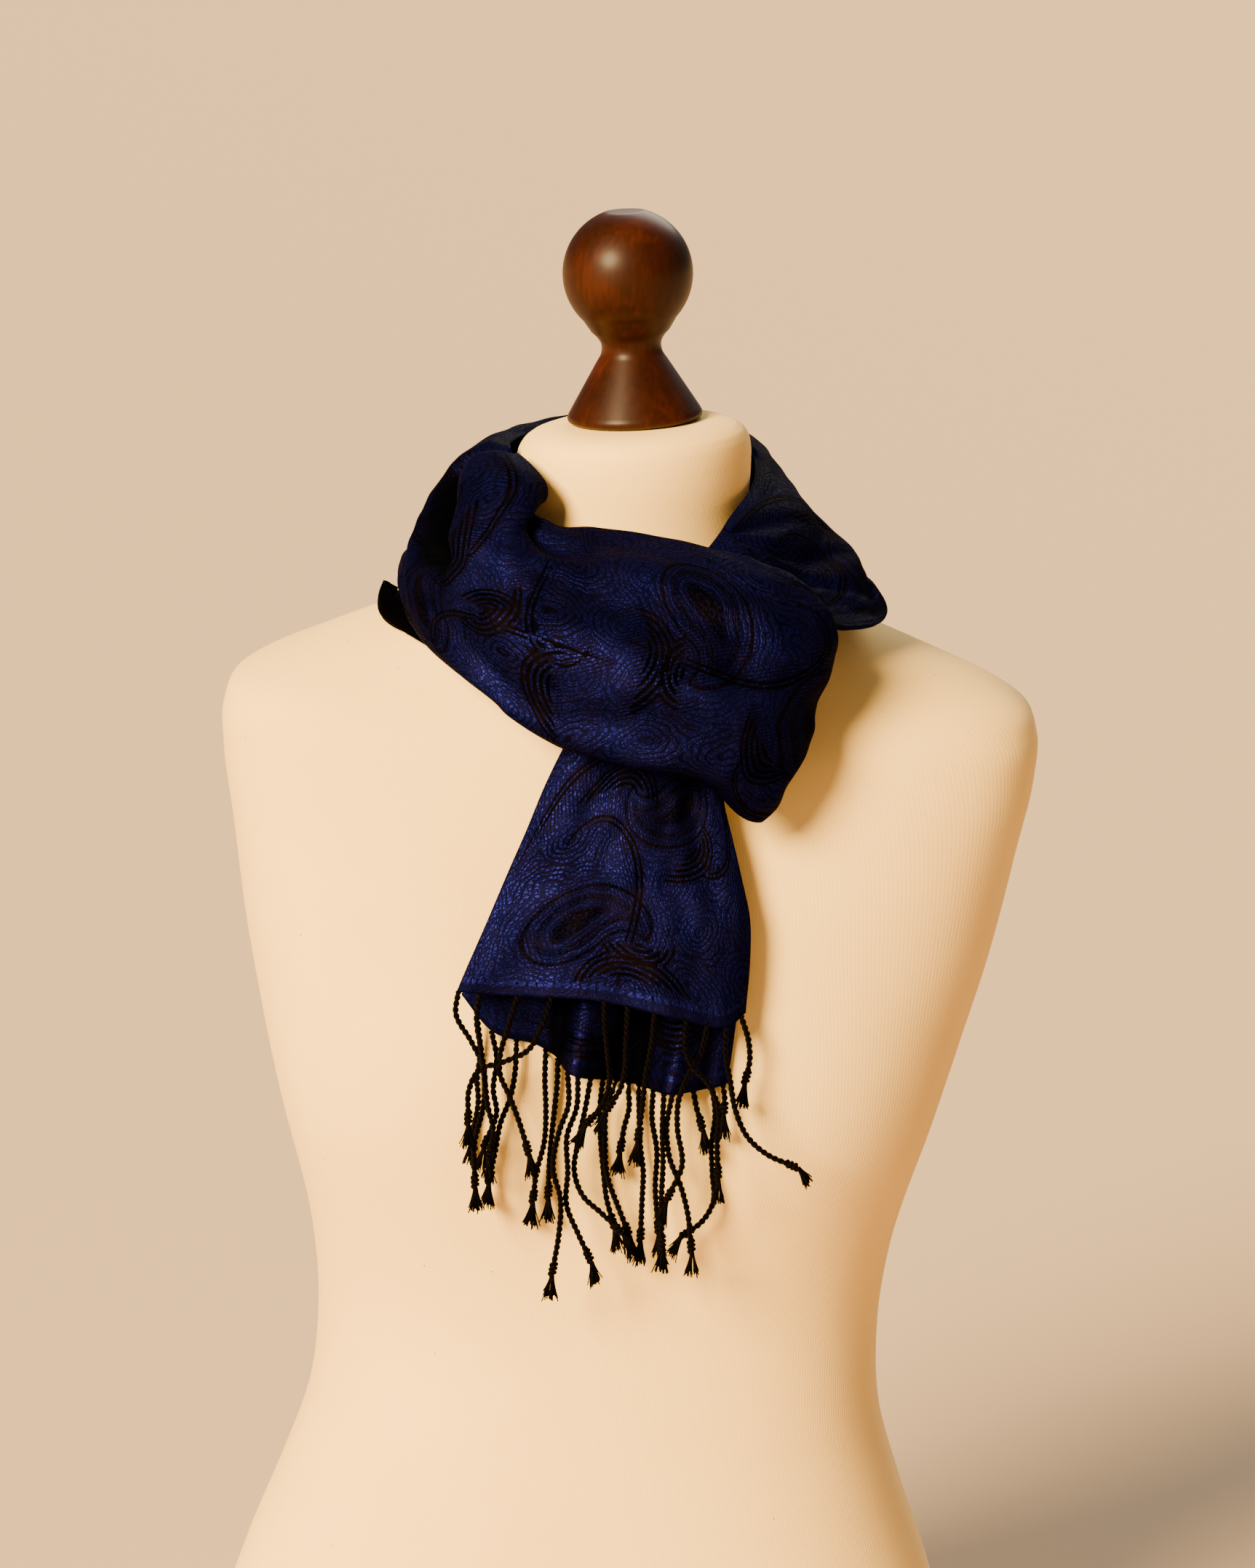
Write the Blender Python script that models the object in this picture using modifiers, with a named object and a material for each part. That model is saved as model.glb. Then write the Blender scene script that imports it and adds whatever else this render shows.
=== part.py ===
"""Silk shawl looped round the neck of a tailor's bust form.

The shawl is doubled, laid round the neck and its two ends are drawn through the bight, so
it shows as a back stretch, a left shoulder stretch, a swathe across the chest that turns back
under itself at the right, a right collar, and two tails with knotted fringe.

Frame: +Z up, the form faces -Y, +X is the right of someone who looks at its front. The origin
is at the middle of the flat underside. Tables are in millimetres and become metres in one place.
"""

import math

import bmesh
import bpy
import numpy as np

MM = 0.001

# Driving sizes, in millimetres.
CLOTH = 1.4  # wall that stands for the doubled silk
SEAM = 0.55  # gap left between two stretches of the same shawl
FORM_GAP = CLOTH / 2 + 1.2  # least clearance of the middle of the cloth from the form
CLOTH_STEP = 10.0  # spacing of the cloth's rows along a stretch
CLOTH_ACROSS = 16  # quads across every stretch, so that the rows meet at the seams
STRAND = 1.9  # thickness of a twisted fringe cord
STRAND_STEP = 12.0  # spacing of a cord's points
STRAND_DEPTH = 2.3  # depth between two strands that cross
STRAND_CLEAR = 4.0  # least clearance of the hindmost strands from the form
ROOT_DROP = 12.0  # height over which a strand comes forward to its own depth
KNOT_PLACES = [2.5, 5.0, 12.0]  # places past the last point of a strand's route
KNOT_RADII = [1.9, 1.9, 1.1, 2.3]  # radius there: the knot, its neck and the cut tuft
HEM_STRIP = 2.6  # depth of the narrow strip that carries the fringe
FORM_SEGMENTS = 42
KNOB_SEGMENTS = 28

NECK_TOP = 673.0
NECK_BASE = 630.0
CAP_FORWARD = math.radians(1.0)  # the neck cap slopes down towards the front
CAP_SIDE_LEAN = math.radians(5.2)  # and a little down towards the left

KNOB_BALL = 31.5  # radius of the ball
KNOB_CENTRE = 71.5  # height of its centre over the foot
KNOB_FLAT = 9.2  # radius of the flat disc on top of the ball
KNOB_TOP = KNOB_CENTRE + math.sqrt(KNOB_BALL**2 - KNOB_FLAT**2)
KNOB_SEAT = 0.4  # gap between the foot and the cap
# Radius and height down the waist and the straight cone of the foot, below the ball.
KNOB_FOOT = [(19, 43.8), (15.6, 40.4), (14.4, 36.8), (14.8, 33.5), (16.3, 30.5), (32.2, 5.2),
             (32.9, 3.2), (32.2, 1.2), (30.5, 0), (0, 0)]


# ---------------------------------------------------------------- curves and surfaces


def through(knots, values, where, lead=None):
    """Smooth curve through the values at the knots, read at the places in where.

    The curve leaves its first knot with the slope in lead, where one is given.
    """
    knots = np.asarray(knots, float)
    values = np.asarray(values, float)
    flat = values.reshape(len(knots), -1)
    step = np.diff(knots)
    slope = np.diff(flat, axis=0) / step[:, None]
    tangent = np.empty_like(flat)
    tangent[0] = slope[0] if lead is None else lead.ravel()
    tangent[-1] = slope[-1]
    before, after = step[:-1, None], step[1:, None]
    tangent[1:-1] = (slope[:-1] * after + slope[1:] * before) / (before + after)
    where = np.clip(np.asarray(where, float), knots[0], knots[-1])
    i = np.clip(np.searchsorted(knots, where, side="right") - 1, 0, len(step) - 1)
    t = ((where - knots[i]) / step[i])[:, None]
    h = step[i][:, None]
    made = (
        (2 * t**3 - 3 * t**2 + 1) * flat[i]
        + (t**3 - 2 * t**2 + t) * h * tangent[i]
        + (3 * t**2 - 2 * t**3) * flat[i + 1]
        + (t**3 - t**2) * h * tangent[i + 1]
    )
    return made.reshape((len(where),) + values.shape[1:])


def ease(t):
    """0 to 1 with level ends."""
    t = np.clip(t, 0.0, 1.0)
    return t * t * (3 - 2 * t)


PROBE = 0.002  # part of a stretch over which its slope is measured


class Stretch:
    """A stretch of cloth: a smooth sheet through its sections, with folds laid into it."""

    def __init__(self, sections, across, folds=(), flip=False):
        self.names = [row[0] for row in sections]
        self.points = np.array([row[1:] for row in sections], float)
        self.across = np.array(across, float)
        self.folds = folds
        self.flip = flip
        self.lead = None
        middle = self.points.mean(axis=1)
        steps = np.linalg.norm(np.diff(middle, axis=0), axis=1)
        self.along = np.concatenate([[0.0], np.cumsum(steps)])
        self.length = self.along[-1]
        gaps = np.linalg.norm(np.diff(self.points, axis=1), axis=2)
        self.width = gaps.sum(axis=1).mean()

    def reach(self, row):
        """Length of the stretch from its first section to a row of the table."""
        return float(np.interp(row, np.arange(len(self.along)), self.along))

    def place(self, name):
        """The fraction along the stretch where a named section lies."""
        return self.reach(self.names.index(name)) / self.length

    def plain(self, u, v):
        """Grid of points at the fractions u along and v across, without folds."""
        rows = through(self.along, self.points, np.asarray(u) * self.length, self.lead)
        return np.stack([through(self.across, row, v) for row in rows])

    def outward(self, u, v):
        """Unit normals of the plain sheet at a grid of places, on the side that shows."""
        along = self.plain(np.minimum(u + PROBE, 1), v) - self.plain(np.maximum(u - PROBE, 0), v)
        across = self.plain(u, np.minimum(v + PROBE, 1)) - self.plain(u, np.maximum(v - PROBE, 0))
        n = np.cross(across, along) * (-1 if self.flip else 1)
        return n / np.linalg.norm(n, axis=2, keepdims=True)

    def grid(self, u, v, gap=FORM_GAP):
        """The same grid with its folds, kept clear of the form."""
        points = self.plain(u, v)
        n = self.outward(u, v)
        uu, vv = np.meshgrid(u, v, indexing="ij")
        for fold in self.folds:
            points = points + n * self.fold_height(fold, uu, vv)[..., None]
        return clear_of_form(points, gap)

    def fold_height(self, fold, uu, vv):
        """Height of one fold over the plain sheet: below it for a trough, above for a ridge."""
        _, row0, v0, row1, v1, width0, width1, depth0, depth1 = fold
        start = np.array([self.reach(row0), v0 * self.width])
        end = np.array([self.reach(row1), v1 * self.width])
        run = end - start
        reach = np.linalg.norm(run)
        px, py = uu * self.length - start[0], vv * self.width - start[1]
        t = (px * run[0] + py * run[1]) / reach**2
        off = (px * run[1] - py * run[0]) / reach
        width = width0 + (width1 - width0) * np.clip(t, 0, 1)
        depth = depth0 + (depth1 - depth0) * np.clip(t, 0, 1)
        beyond = np.maximum(0, np.maximum(-t, t - 1)) * reach
        return depth * np.exp(-((off / width) ** 2)) * np.exp(-((beyond / width) ** 2))


def meet(one, other):
    """Gives two stretches that start at the same section one slope there."""
    slope = (one.points[1] - other.points[1]) / (one.along[1] + other.along[1])
    one.lead, other.lead = slope, -slope


# ---------------------------------------------------------------- the bust form

# A row for each ring: height, half width, depth to the front, depth to the back,
# middle of the ring forward (-) or back (+), squareness, middle of the ring to the right.
FORM_RINGS = [
    (0, 184, 111, 119, 0, 2.3, 0),
    (50, 186, 112, 122, 0, 2.3, 0),
    (107, 171, 108, 116, 0, 2.3, 0),
    (150, 155, 102, 104, 0, 2.3, 0),
    (188, 143, 96, 93, 0, 2.3, 0),
    (235, 139.5, 92, 84, 0, 2.3, 0),
    (280, 144, 94, 82, 0, 2.3, 0),
    (346, 161, 99, 88, 0, 2.4, 0.4),
    (382, 170.8, 101, 93, 0, 2.5, 1.0),
    (426, 182, 102, 97, 0, 2.7, 2.3),
    (481, 192, 99, 99, 0, 2.9, 3.5),
    (517, 198.2, 91, 97, 0, 3.0, 3.9),
    (537, 198.5, 84, 92, 0, 3.0, 3.8),
    (549, 193.5, 78, 86, 1, 2.9, 3.6),
    (559.5, 178, 73, 80, 2, 2.6, 3.2),
    (571, 152, 68, 74, 3, 2.4, 2.6),
    (586, 116, 63, 69, 4, 2.2, 1.6),
    (600, 86, 60, 65, 4, 2.1, 0.6),
    (611, 68, 58, 62, 4, 2.0, 0),
    (622, 60, 57, 60, 3, 2.0, 0),
    (638, 57, 56.5, 58, 2, 2.0, 0),
    (658, 57, 56.5, 57, -1, 2.0, 0),
    (667, 56.5, 56, 56.5, -2, 2.0, 0),
    (672.4, 54.8, 54.4, 54.8, -3, 2.0, 0),
    (676.4, 51.4, 51, 51.4, -4, 2.0, 0),
    (678.9, 46.5, 46.3, 46.5, -4, 2.0, 0),
    (680.4, 39.5, 39.5, 39.5, -4, 2.0, 0),
    (680.9, 33.5, 33.5, 33.5, -4, 2.0, 0),
    (681, 10, 10, 10, -4, 2.0, 0),
]
RING = np.array(FORM_RINGS, float)

BUST = {"apart": 84, "height": 352, "spread": 52, "rise": 20}


def ring_sizes(z):
    """Half width, front, back, middle, squareness and shift of the form at the heights z."""
    flat = np.atleast_1d(np.asarray(z, float)).ravel()
    return through(RING[:, 0], RING[:, 1:], flat)


def form_radius(angle, z):
    """Distance of the form's surface from its upright axis, at an angle and a height."""
    angle, z = np.broadcast_arrays(np.asarray(angle, float), np.asarray(z, float))
    half, front, back, _, square, _ = ring_sizes(z).T
    a, c = np.cos(angle).ravel(), np.sin(angle).ravel()
    depth = np.where(c < 0, front, back)
    r = ((np.abs(a) / half) ** square + (np.abs(c) / depth) ** square) ** (-1 / square)
    x, y = r * a, r * c
    for side in (-1, 1):
        away = (x - side * BUST["apart"]) ** 2 + (z.ravel() - BUST["height"]) ** 2
        swell = BUST["rise"] * np.exp(-away / (2 * BUST["spread"] ** 2))
        r = r + np.where(y < 0, swell * np.minimum(1, -y / 60), 0)
    return r.reshape(angle.shape)


def form_depth(points):
    """How far the points are outside the form, and the direction that leads away from it."""
    p = points.reshape(-1, 3)

    def height(q):
        sizes = ring_sizes(q[:, 2])
        x, y = q[:, 0] - sizes[:, 5], q[:, 1] - sizes[:, 3]
        return np.hypot(x, y) - form_radius(np.arctan2(y, x), q[:, 2])

    here = height(p)
    nearby = np.eye(3) / 2
    slope = np.stack([height(p + step) - height(p - step) for step in nearby], -1)
    size = np.maximum(np.linalg.norm(slope, axis=1), 1e-6)
    return (here / size).reshape(points.shape[:-1]), (slope / size[:, None]).reshape(points.shape)


def clear_of_form(points, gap):
    """The points, with those nearer the form than the gap moved out to it."""
    for _ in range(5):
        depth, away = form_depth(points)
        points = points + away * np.maximum(0, gap - depth)[..., None]
    return points


def lean_cap(points):
    """Tilts the top of the neck, and leaves the shoulders level."""
    share = ease((points[..., 2] - NECK_BASE) / (NECK_TOP - NECK_BASE))
    rise = points[..., 1] * math.tan(CAP_FORWARD) + points[..., 0] * math.tan(CAP_SIDE_LEAN)
    moved = points.copy()
    moved[..., 2] += share * rise
    return moved


# ---------------------------------------------------------------- the loop of the shawl

# Columns of a section, from the neck outwards: the edge by the neck, the crest, the roll,
# the face, the belly, the lower edge and the edge that turns under.
ACROSS = (0.0, 0.09, 0.21, 0.44, 0.68, 0.91, 1.0)

# The seam at the back, right of the middle, where the loop and the tail end of the shawl meet.
SEAM_ROW = ((44, 50, 667), (49, 55, 670), (59, 63, 663), (68, 72, 640), (76, 82, 610), (82, 90, 584),
            (82, 89, 574))

LOOP = [
    # name, neck, crest, roll, face, belly, lower, under
    ("seam", *SEAM_ROW),
    ("back", (2, 66, 674), (2, 71, 676), (1, 80, 668), (0, 90, 641), (-2, 99, 606), (-4, 106, 574),
     (-5, 106, 563)),
    ("back left", (-44, 50, 667), (-50, 55, 669), (-61, 61, 659), (-73, 67, 634), (-86, 71, 609),
     (-92, 74, 586), (-92, 73, 577)),
    ("left", (-60, 8, 665), (-69, 9, 667), (-84, 8, 658), (-95, 5, 638), (-104, 0, 618),
     (-111, -3, 604), (-108, -4, 597)),
    ("left front", (-57, -31, 668), (-67, -36, 668), (-84, -34, 657), (-98, -34, 632),
     (-105, -41, 610), (-106, -52, 592), (-99, -54, 586)),
    ("left chest", (-41, -60, 657), (-50, -69, 655), (-71, -75, 643), (-88, -80, 621),
     (-95, -83, 599), (-91, -86, 579), (-82, -82, 575)),
    ("front left", (-38, -68, 640), (-42, -80, 638), (-51, -95, 631), (-62, -109, 609),
     (-68, -115, 587), (-66, -114, 565), (-58, -106, 561)),
    ("front", (-17, -72, 639), (-18, -85, 633), (-20, -101, 630), (-25, -127, 604), (-30, -137, 575),
     (-33, -130, 547), (-29, -118, 543)),
    ("front right", (12, -77, 637), (13, -90, 632), (14, -105, 627), (12, -132, 601), (8, -146, 569),
     (4, -139, 539), (5, -125, 536)),
    ("right", (37, -85, 634), (40, -96, 631), (44, -108, 623), (45, -132, 596), (41, -146, 563),
     (36, -141, 535), (36, -128, 531)),
    ("bight front", (62, -93, 629), (68, -100, 624), (74, -109, 614), (75, -126, 587),
     (68, -138, 556), (57, -135, 525), (55, -124, 519)),
    ("bight edge", (83, -92, 618), (91, -95, 612), (98, -98, 603), (97, -103, 578), (90, -112, 549),
     (74, -120, 523), (65, -118, 514)),
    ("bight back", (93, -90, 594), (95, -89, 591), (96, -88, 586), (92, -87, 568), (83, -93, 546),
     (66, -103, 524), (59, -105, 518)),
    ("under right", (63, -76, 584), (64, -77, 581), (65, -79, 576), (64, -82, 561), (58, -88, 544),
     (48, -96, 528), (44, -98, 524)),
    ("under front", (28, -79, 586), (29, -80, 583), (30, -81, 578), (28, -84, 564), (24, -89, 549),
     (19, -94, 536), (17, -96, 533)),
    ("under middle", (-10, -77, 592), (-11, -78, 589), (-13, -80, 583), (-17, -84, 569),
     (-21, -89, 556), (-25, -92, 545), (-26, -93, 542)),
    ("under left", (-40, -66, 598), (-43, -68, 595), (-48, -70, 589), (-55, -74, 578),
     (-61, -78, 569), (-65, -80, 562), (-66, -80, 559)),
    ("under chest", (-60, -42, 604), (-65, -44, 600), (-72, -48, 594), (-83, -53, 584),
     (-93, -55, 578), (-100, -53, 580), (-101, -50, 585)),
    ("under shoulder", (-69, -14, 606), (-75, -15, 601), (-86, -17, 594), (-101, -21, 585),
     (-113, -25, 580), (-120, -24, 590), (-118, -20, 599)),
    ("under back", (-68, 16, 606), (-74, 17, 602), (-84, 18, 595), (-96, 18, 586), (-106, 18, 580),
     (-113, 16, 584), (-113, 15, 591)),
]

# A row for each fold: where it starts and ends (row of the table, part across), its half
# width at both ends and its height at both ends. A negative height is a trough.
LOOP_FOLDS = [
    ("step behind the panel", 3.95, 0.0, 3.5, 0.17, 4, 5, -8, -11),
    ("pocket, upper", 3.45, 0.23, 4.3, 0.37, 6, 9, -15, -22),
    ("pocket, lower", 4.5, 0.39, 4.95, 0.54, 8, 8, -13, -6),
    ("outer roll", 3.2, 0.44, 4.4, 0.68, 8, 9, 3, 4),
    ("recess under the tab", 5.6, 0.0, 5.75, 0.05, 5, 5, -9, -8),
    ("crease under the tab", 5.8, 0.08, 7.0, 0.18, 4, 7, -8, -3),
    ("soft trough high", 6.6, 0.30, 9.2, 0.46, 11, 14, -4, -3),
    ("soft ridge", 6.2, 0.52, 9.0, 0.64, 12, 14, 4, 4),
    ("soft trough low", 6.3, 0.80, 9.3, 0.74, 9, 10, -3, -4),
    ("turn of the bight", 9.9, 0.66, 11.0, 0.55, 8, 9, -3, -5),
    ("back trough", 0.5, 0.55, 2.2, 0.48, 11, 10, -4, -3),
    ("back ridge", 0.4, 0.80, 2.4, 0.74, 10, 10, 4, 3),
]

# ---------------------------------------------------------------- the ends of the shawl

# The two ends lie on one another round the right of the neck, pass through the bight and
# hang. Columns, from the neck outwards, then from the left edge of a tail to its right edge.
ENDS = [
    ("seam", *SEAM_ROW),
    ("right back", (54, 32, 664), (57, 36, 667), (66, 42, 660), (78, 50, 640), (88, 58, 614),
     (95, 64, 592), (97, 64, 584)),
    ("right side", (59, 8, 659), (63, 10, 659), (74, 12, 652), (85, 8, 641), (97, 12, 620),
     (106, 18, 604), (108, 18, 597)),
    ("shoulder", (58, -12, 654), (64, -12, 652), (78, -9, 645), (97, -4, 632), (108, -2, 616),
     (114, 2, 604), (114, 3, 598)),
    ("shoulder front", (53, -31, 648), (60, -31, 646), (76, -27, 638), (99, -19, 625),
     (114, -17, 613), (121, -18, 603), (120, -18, 598)),
    ("corner", (47, -46, 642), (55, -47, 640), (72, -44, 630), (97, -38, 614), (116, -33, 602),
     (125, -31, 596), (122, -35, 594)),
    ("into the loop", (38, -64, 631), (45, -67, 628), (60, -70, 618), (79, -69, 606), (97, -67, 599),
     (107, -66, 595), (104, -69, 594)),
    ("mouth of the loop", (26, -76, 618), (33, -80, 614), (46, -85, 608), (63, -86, 602),
     (80, -85, 600), (90, -83, 600), (89, -85, 598)),
    ("in the loop", (4, -92, 590), (11, -98, 587), (25, -103, 582), (43, -106, 576), (58, -108, 572),
     (70, -107, 570), (71, -104, 567)),
    ("below the loop", (-28, -103, 537), (-22, -107, 537), (-9, -110, 536), (10, -112, 533),
     (30, -112, 528), (45, -110, 524), (49, -107, 523)),
    ("tail upper", (-43, -112, 500), (-37, -115, 500), (-21, -118, 500), (3, -119, 500),
     (29, -118, 499), (49, -116, 499), (54, -113, 500)),
    ("tail middle", (-58, -121, 462), (-51, -123, 462), (-33, -126, 463), (-3, -128, 464),
     (30, -127, 462), (58, -123, 461), (64, -118, 462)),
    ("hem", (-73, -130, 424), (-65, -132, 424), (-43, -134, 424), (-7, -136, 424), (31, -135, 417),
     (57, -130, 413), (64, -123, 418)),
]
ENDS_FOLDS = [
    ("collar trough", 3.0, 0.40, 6.0, 0.30, 9, 8, -3, -4),
    ("collar ridge", 2.4, 0.58, 5.0, 0.55, 8, 9, 2, 3),
    ("gather left", 8.2, 0.30, 10.2, 0.24, 7, 9, -4, -2),
    ("gather middle", 8.2, 0.52, 10.4, 0.50, 7, 10, 3, 2),
    ("gather right", 8.2, 0.74, 10.6, 0.78, 7, 9, -4, -2),
    ("hem wave left", 11.2, 0.20, 12.0, 0.18, 9, 8, -2, -4),
    ("hem wave right", 11.0, 0.62, 12.0, 0.64, 10, 9, 2, 4),
]

# The longer tail hangs behind. It starts as the first tail's plain sheet, moved back by
# UNDERLAP: pressed together in the loop, then past the gathers. Its own sections follow.
UNDERLAP = (CLOTH + 1.1, 6.8)
BACK_TAIL = [
    ("upper", (-40, -106, 498), (-34, -109, 498), (-20, -112, 498), (2, -113, 498), (27, -112, 497),
     (46, -110, 496), (51, -107, 496)),
    ("middle", (-54, -110, 463), (-47, -112, 462), (-29, -114, 461), (-2, -115, 459), (28, -114, 457),
     (53, -112, 456), (59, -109, 456)),
    ("lower", (-68, -114, 428), (-58, -115, 424), (-38, -116, 420), (-8, -118, 418), (28, -118, 416),
     (54, -115, 414), (60, -111, 414)),
    ("hem", (-71, -115, 419), (-57, -117, 403), (-36, -117, 396), (-14, -120, 384), (22, -121, 378),
     (50, -119, 379), (57, -115, 381)),
]
BACK_TAIL_FOLDS = [
    ("rolled pleat left", 1.5, 0.42, 3.0, 0.42, 6, 7, 2, 9),
    ("between the pleats", 1.4, 0.58, 3.0, 0.58, 8, 9, -3, -8),
    ("rolled pleat right", 1.2, 0.74, 3.0, 0.74, 6, 7, 2, 9),
    ("wing", 1.5, 0.24, 3.0, 0.22, 8, 8, -2, -5),
]

# ---------------------------------------------------------------- the fringe

# Each strand: how many strand depths it hangs in front of its hem, and its route of (x, z)
# places from the hem down to its knot. The cut ends flare below the knot.
FRONT_FRINGE = [
    (0, (-72, 424), (-73, 414), (-65, 400), (-59, 388), (-58, 372), (-62, 348), (-61, 333)),
    (2, (-62, 424), (-63, 414), (-60, 396), (-58, 383), (-56, 370), (-53, 358), (-54, 349)),
    (1, (-44, 424), (-48, 408), (-51, 396), (-51, 386), (-46, 375), (-40, 360), (-37, 351)),
    (3, (-28, 424), (-32, 412), (-38, 400), (-49, 394), (-61, 389), (-65, 380), (-65, 367)),
    (1, (-3, 424), (-2, 410), (0, 396), (1, 385), (-2, 374), (-7, 367)),
    (3, (8, 421), (8, 407), (8, 394), (6, 383), (2, 376)),
    (0, (21, 419), (20, 404), (18, 390), (17, 374), (16, 362)),
    (2, (36, 416), (36, 404), (40, 395), (47, 388), (53, 375), (53, 360), (54, 345)),
    (0, (46, 415), (44, 402), (38, 389), (34, 376), (34, 364), (37, 344), (32, 331)),
    (2, (55, 414), (55, 402), (58, 388), (61, 374), (68, 360), (78, 352), (88, 348)),
    (0, (62, 416), (66, 405), (67, 394), (66, 388)),
]
BACK_FRINGE = [
    (-1, (-63, 405), (-61, 390), (-62, 378), (-61, 368), (-63, 352)),
    (1, (-56, 402), (-53, 390), (-54, 374), (-52, 364), (-56, 350)),
    (0, (-44, 399), (-44, 384), (-46, 370), (-50, 358), (-52, 344), (-54, 331)),
    (0, (-30, 395), (-30, 380), (-29, 366), (-29, 350), (-32, 334), (-33, 322)),
    (-1, (-24, 391), (-24, 378), (-25, 362), (-26, 344), (-26, 324)),
    (2, (-19, 387), (-18, 372), (-22, 358), (-24, 340), (-20, 326), (-20, 308), (-22, 292)),
    (0, (-14, 384), (-14, 370), (-18, 356), (-17, 338), (-17, 322), (-11, 308), (-6, 298)),
    (1, (-8, 383), (-10, 368), (-13, 350), (-14, 338), (-9, 325), (-1, 318), (7, 311)),
    (-1, (-2, 382), (-3, 366), (-2, 350), (0, 334), (2, 321), (5, 311)),
    (2, (4, 381), (0, 368), (0, 354), (2, 334), (7, 320), (12, 308)),
    (1, (10, 380), (11, 368), (9, 358), (8, 350)),
    (0, (15, 379), (16, 364), (17, 350), (19, 336), (19, 322), (19, 305)),
    (-1, (22, 378), (22, 364), (25, 348), (25, 330), (27, 312)),
    (1, (27, 378), (27, 362), (28, 346), (28, 328), (29, 308)),
    (0, (31, 378), (29, 362), (31, 348), (37, 334), (41, 320), (43, 306)),
    (1, (41, 379), (43, 370), (45, 364)),
    (-1, (50, 379), (52, 366), (51, 350), (52, 336), (53, 322), (47, 311), (42, 307)),
    (1, (55, 381), (56, 375), (56, 371)),
]

STRETCHES = {
    "loop": Stretch(LOOP, ACROSS, LOOP_FOLDS),
    "ends": Stretch(ENDS, ACROSS, ENDS_FOLDS, flip=True),
    "back tail": Stretch(BACK_TAIL, ACROSS, BACK_TAIL_FOLDS, flip=True),
}
meet(STRETCHES["loop"], STRETCHES["ends"])

# ---------------------------------------------------------------- building blocks


def material(name, rgb, roughness, metallic=0.0):
    made = bpy.data.materials.new(name)
    made.use_nodes = True
    shader = made.node_tree.nodes["Principled BSDF"]
    shader.inputs["Base Color"].default_value = (*rgb, 1.0)
    shader.inputs["Roughness"].default_value = roughness
    shader.inputs["Metallic"].default_value = metallic
    made.diffuse_color = (*rgb, 1.0)
    return made


def finish(mesh, name, mat, collection):
    """Puts a mesh into the scene as one named object."""
    obj = bpy.data.objects.new(name, mesh)
    mesh.materials.append(mat)
    mesh.shade_smooth()
    mesh.set_sharp_from_angle(angle=math.radians(50))
    collection.objects.link(obj)
    return obj


def loft(rows, closed_round=False, caps=False):
    """Mesh over a grid of points in millimetres, with quads between neighbouring rows."""
    bm = bmesh.new()
    verts = [[bm.verts.new([c * MM for c in p]) for p in row] for row in rows]
    count = len(rows[0])
    for a, b in zip(verts, verts[1:]):
        for i in range(count if closed_round else count - 1):
            j = (i + 1) % count
            bm.faces.new((a[i], a[j], b[j], b[i]))
    if caps:
        bm.faces.new(tuple(reversed(verts[0])))
        bm.faces.new(tuple(verts[-1]))
    mesh = bpy.data.meshes.new("loft")
    bm.to_mesh(mesh)
    bm.free()
    return mesh


def clear_scene():
    for obj in list(bpy.data.objects):
        bpy.data.objects.remove(obj)


def collection_of(name):
    made = bpy.data.collections.new(name)
    bpy.context.scene.collection.children.link(made)
    return made


def tube(name, routes, radii):
    """Mesh of four-sided tubes along routes in millimetres, with a radius at each point."""
    curve = bpy.data.curves.new(name, "CURVE")
    curve.dimensions = "3D"
    curve.bevel_depth = MM
    curve.bevel_resolution = 0
    curve.use_fill_caps = True
    for route, widths in zip(routes, radii):
        spline = curve.splines.new("POLY")
        spline.points.add(len(route) - 1)
        for point, place, width in zip(spline.points, route, widths):
            point.co = (*(place * MM), 1.0)
            point.radius = width
    guide = bpy.data.objects.new(name, curve)
    bpy.context.scene.collection.objects.link(guide)
    graph = bpy.context.evaluated_depsgraph_get()
    mesh = bpy.data.meshes.new_from_object(guide.evaluated_get(graph))
    bpy.data.objects.remove(guide)
    bm = bmesh.new()
    bm.from_mesh(mesh)
    bmesh.ops.remove_doubles(bm, verts=bm.verts, dist=0.005 * MM)
    bmesh.ops.recalc_face_normals(bm, faces=bm.faces)
    bm.to_mesh(mesh)
    bm.free()
    return mesh


# ---------------------------------------------------------------- the pieces


def make_form(mat, collection):
    angles = np.linspace(0, 2 * math.pi, FORM_SEGMENTS, endpoint=False)
    heights = np.concatenate(
        [np.linspace(0, 520, 22), [531, 539, 546, 552, 558, 565, 573, 583, 592, 602, 611, 622],
         [636, 650, 659, 666, 670, 673.5, 676.2, 678.4, 680, 680.8, 681]]
    )
    rows = []
    for z in heights:
        _, _, _, middle, _, side = ring_sizes(z)[0]
        r = form_radius(angles, np.full_like(angles, z))
        row = [side + r * np.cos(angles), middle + r * np.sin(angles), np.full_like(r, z)]
        rows.append(np.stack(row, -1))
    rows = lean_cap(np.array(rows))
    return finish(loft(rows, closed_round=True, caps=True), "bust_form", mat, collection)


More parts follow.
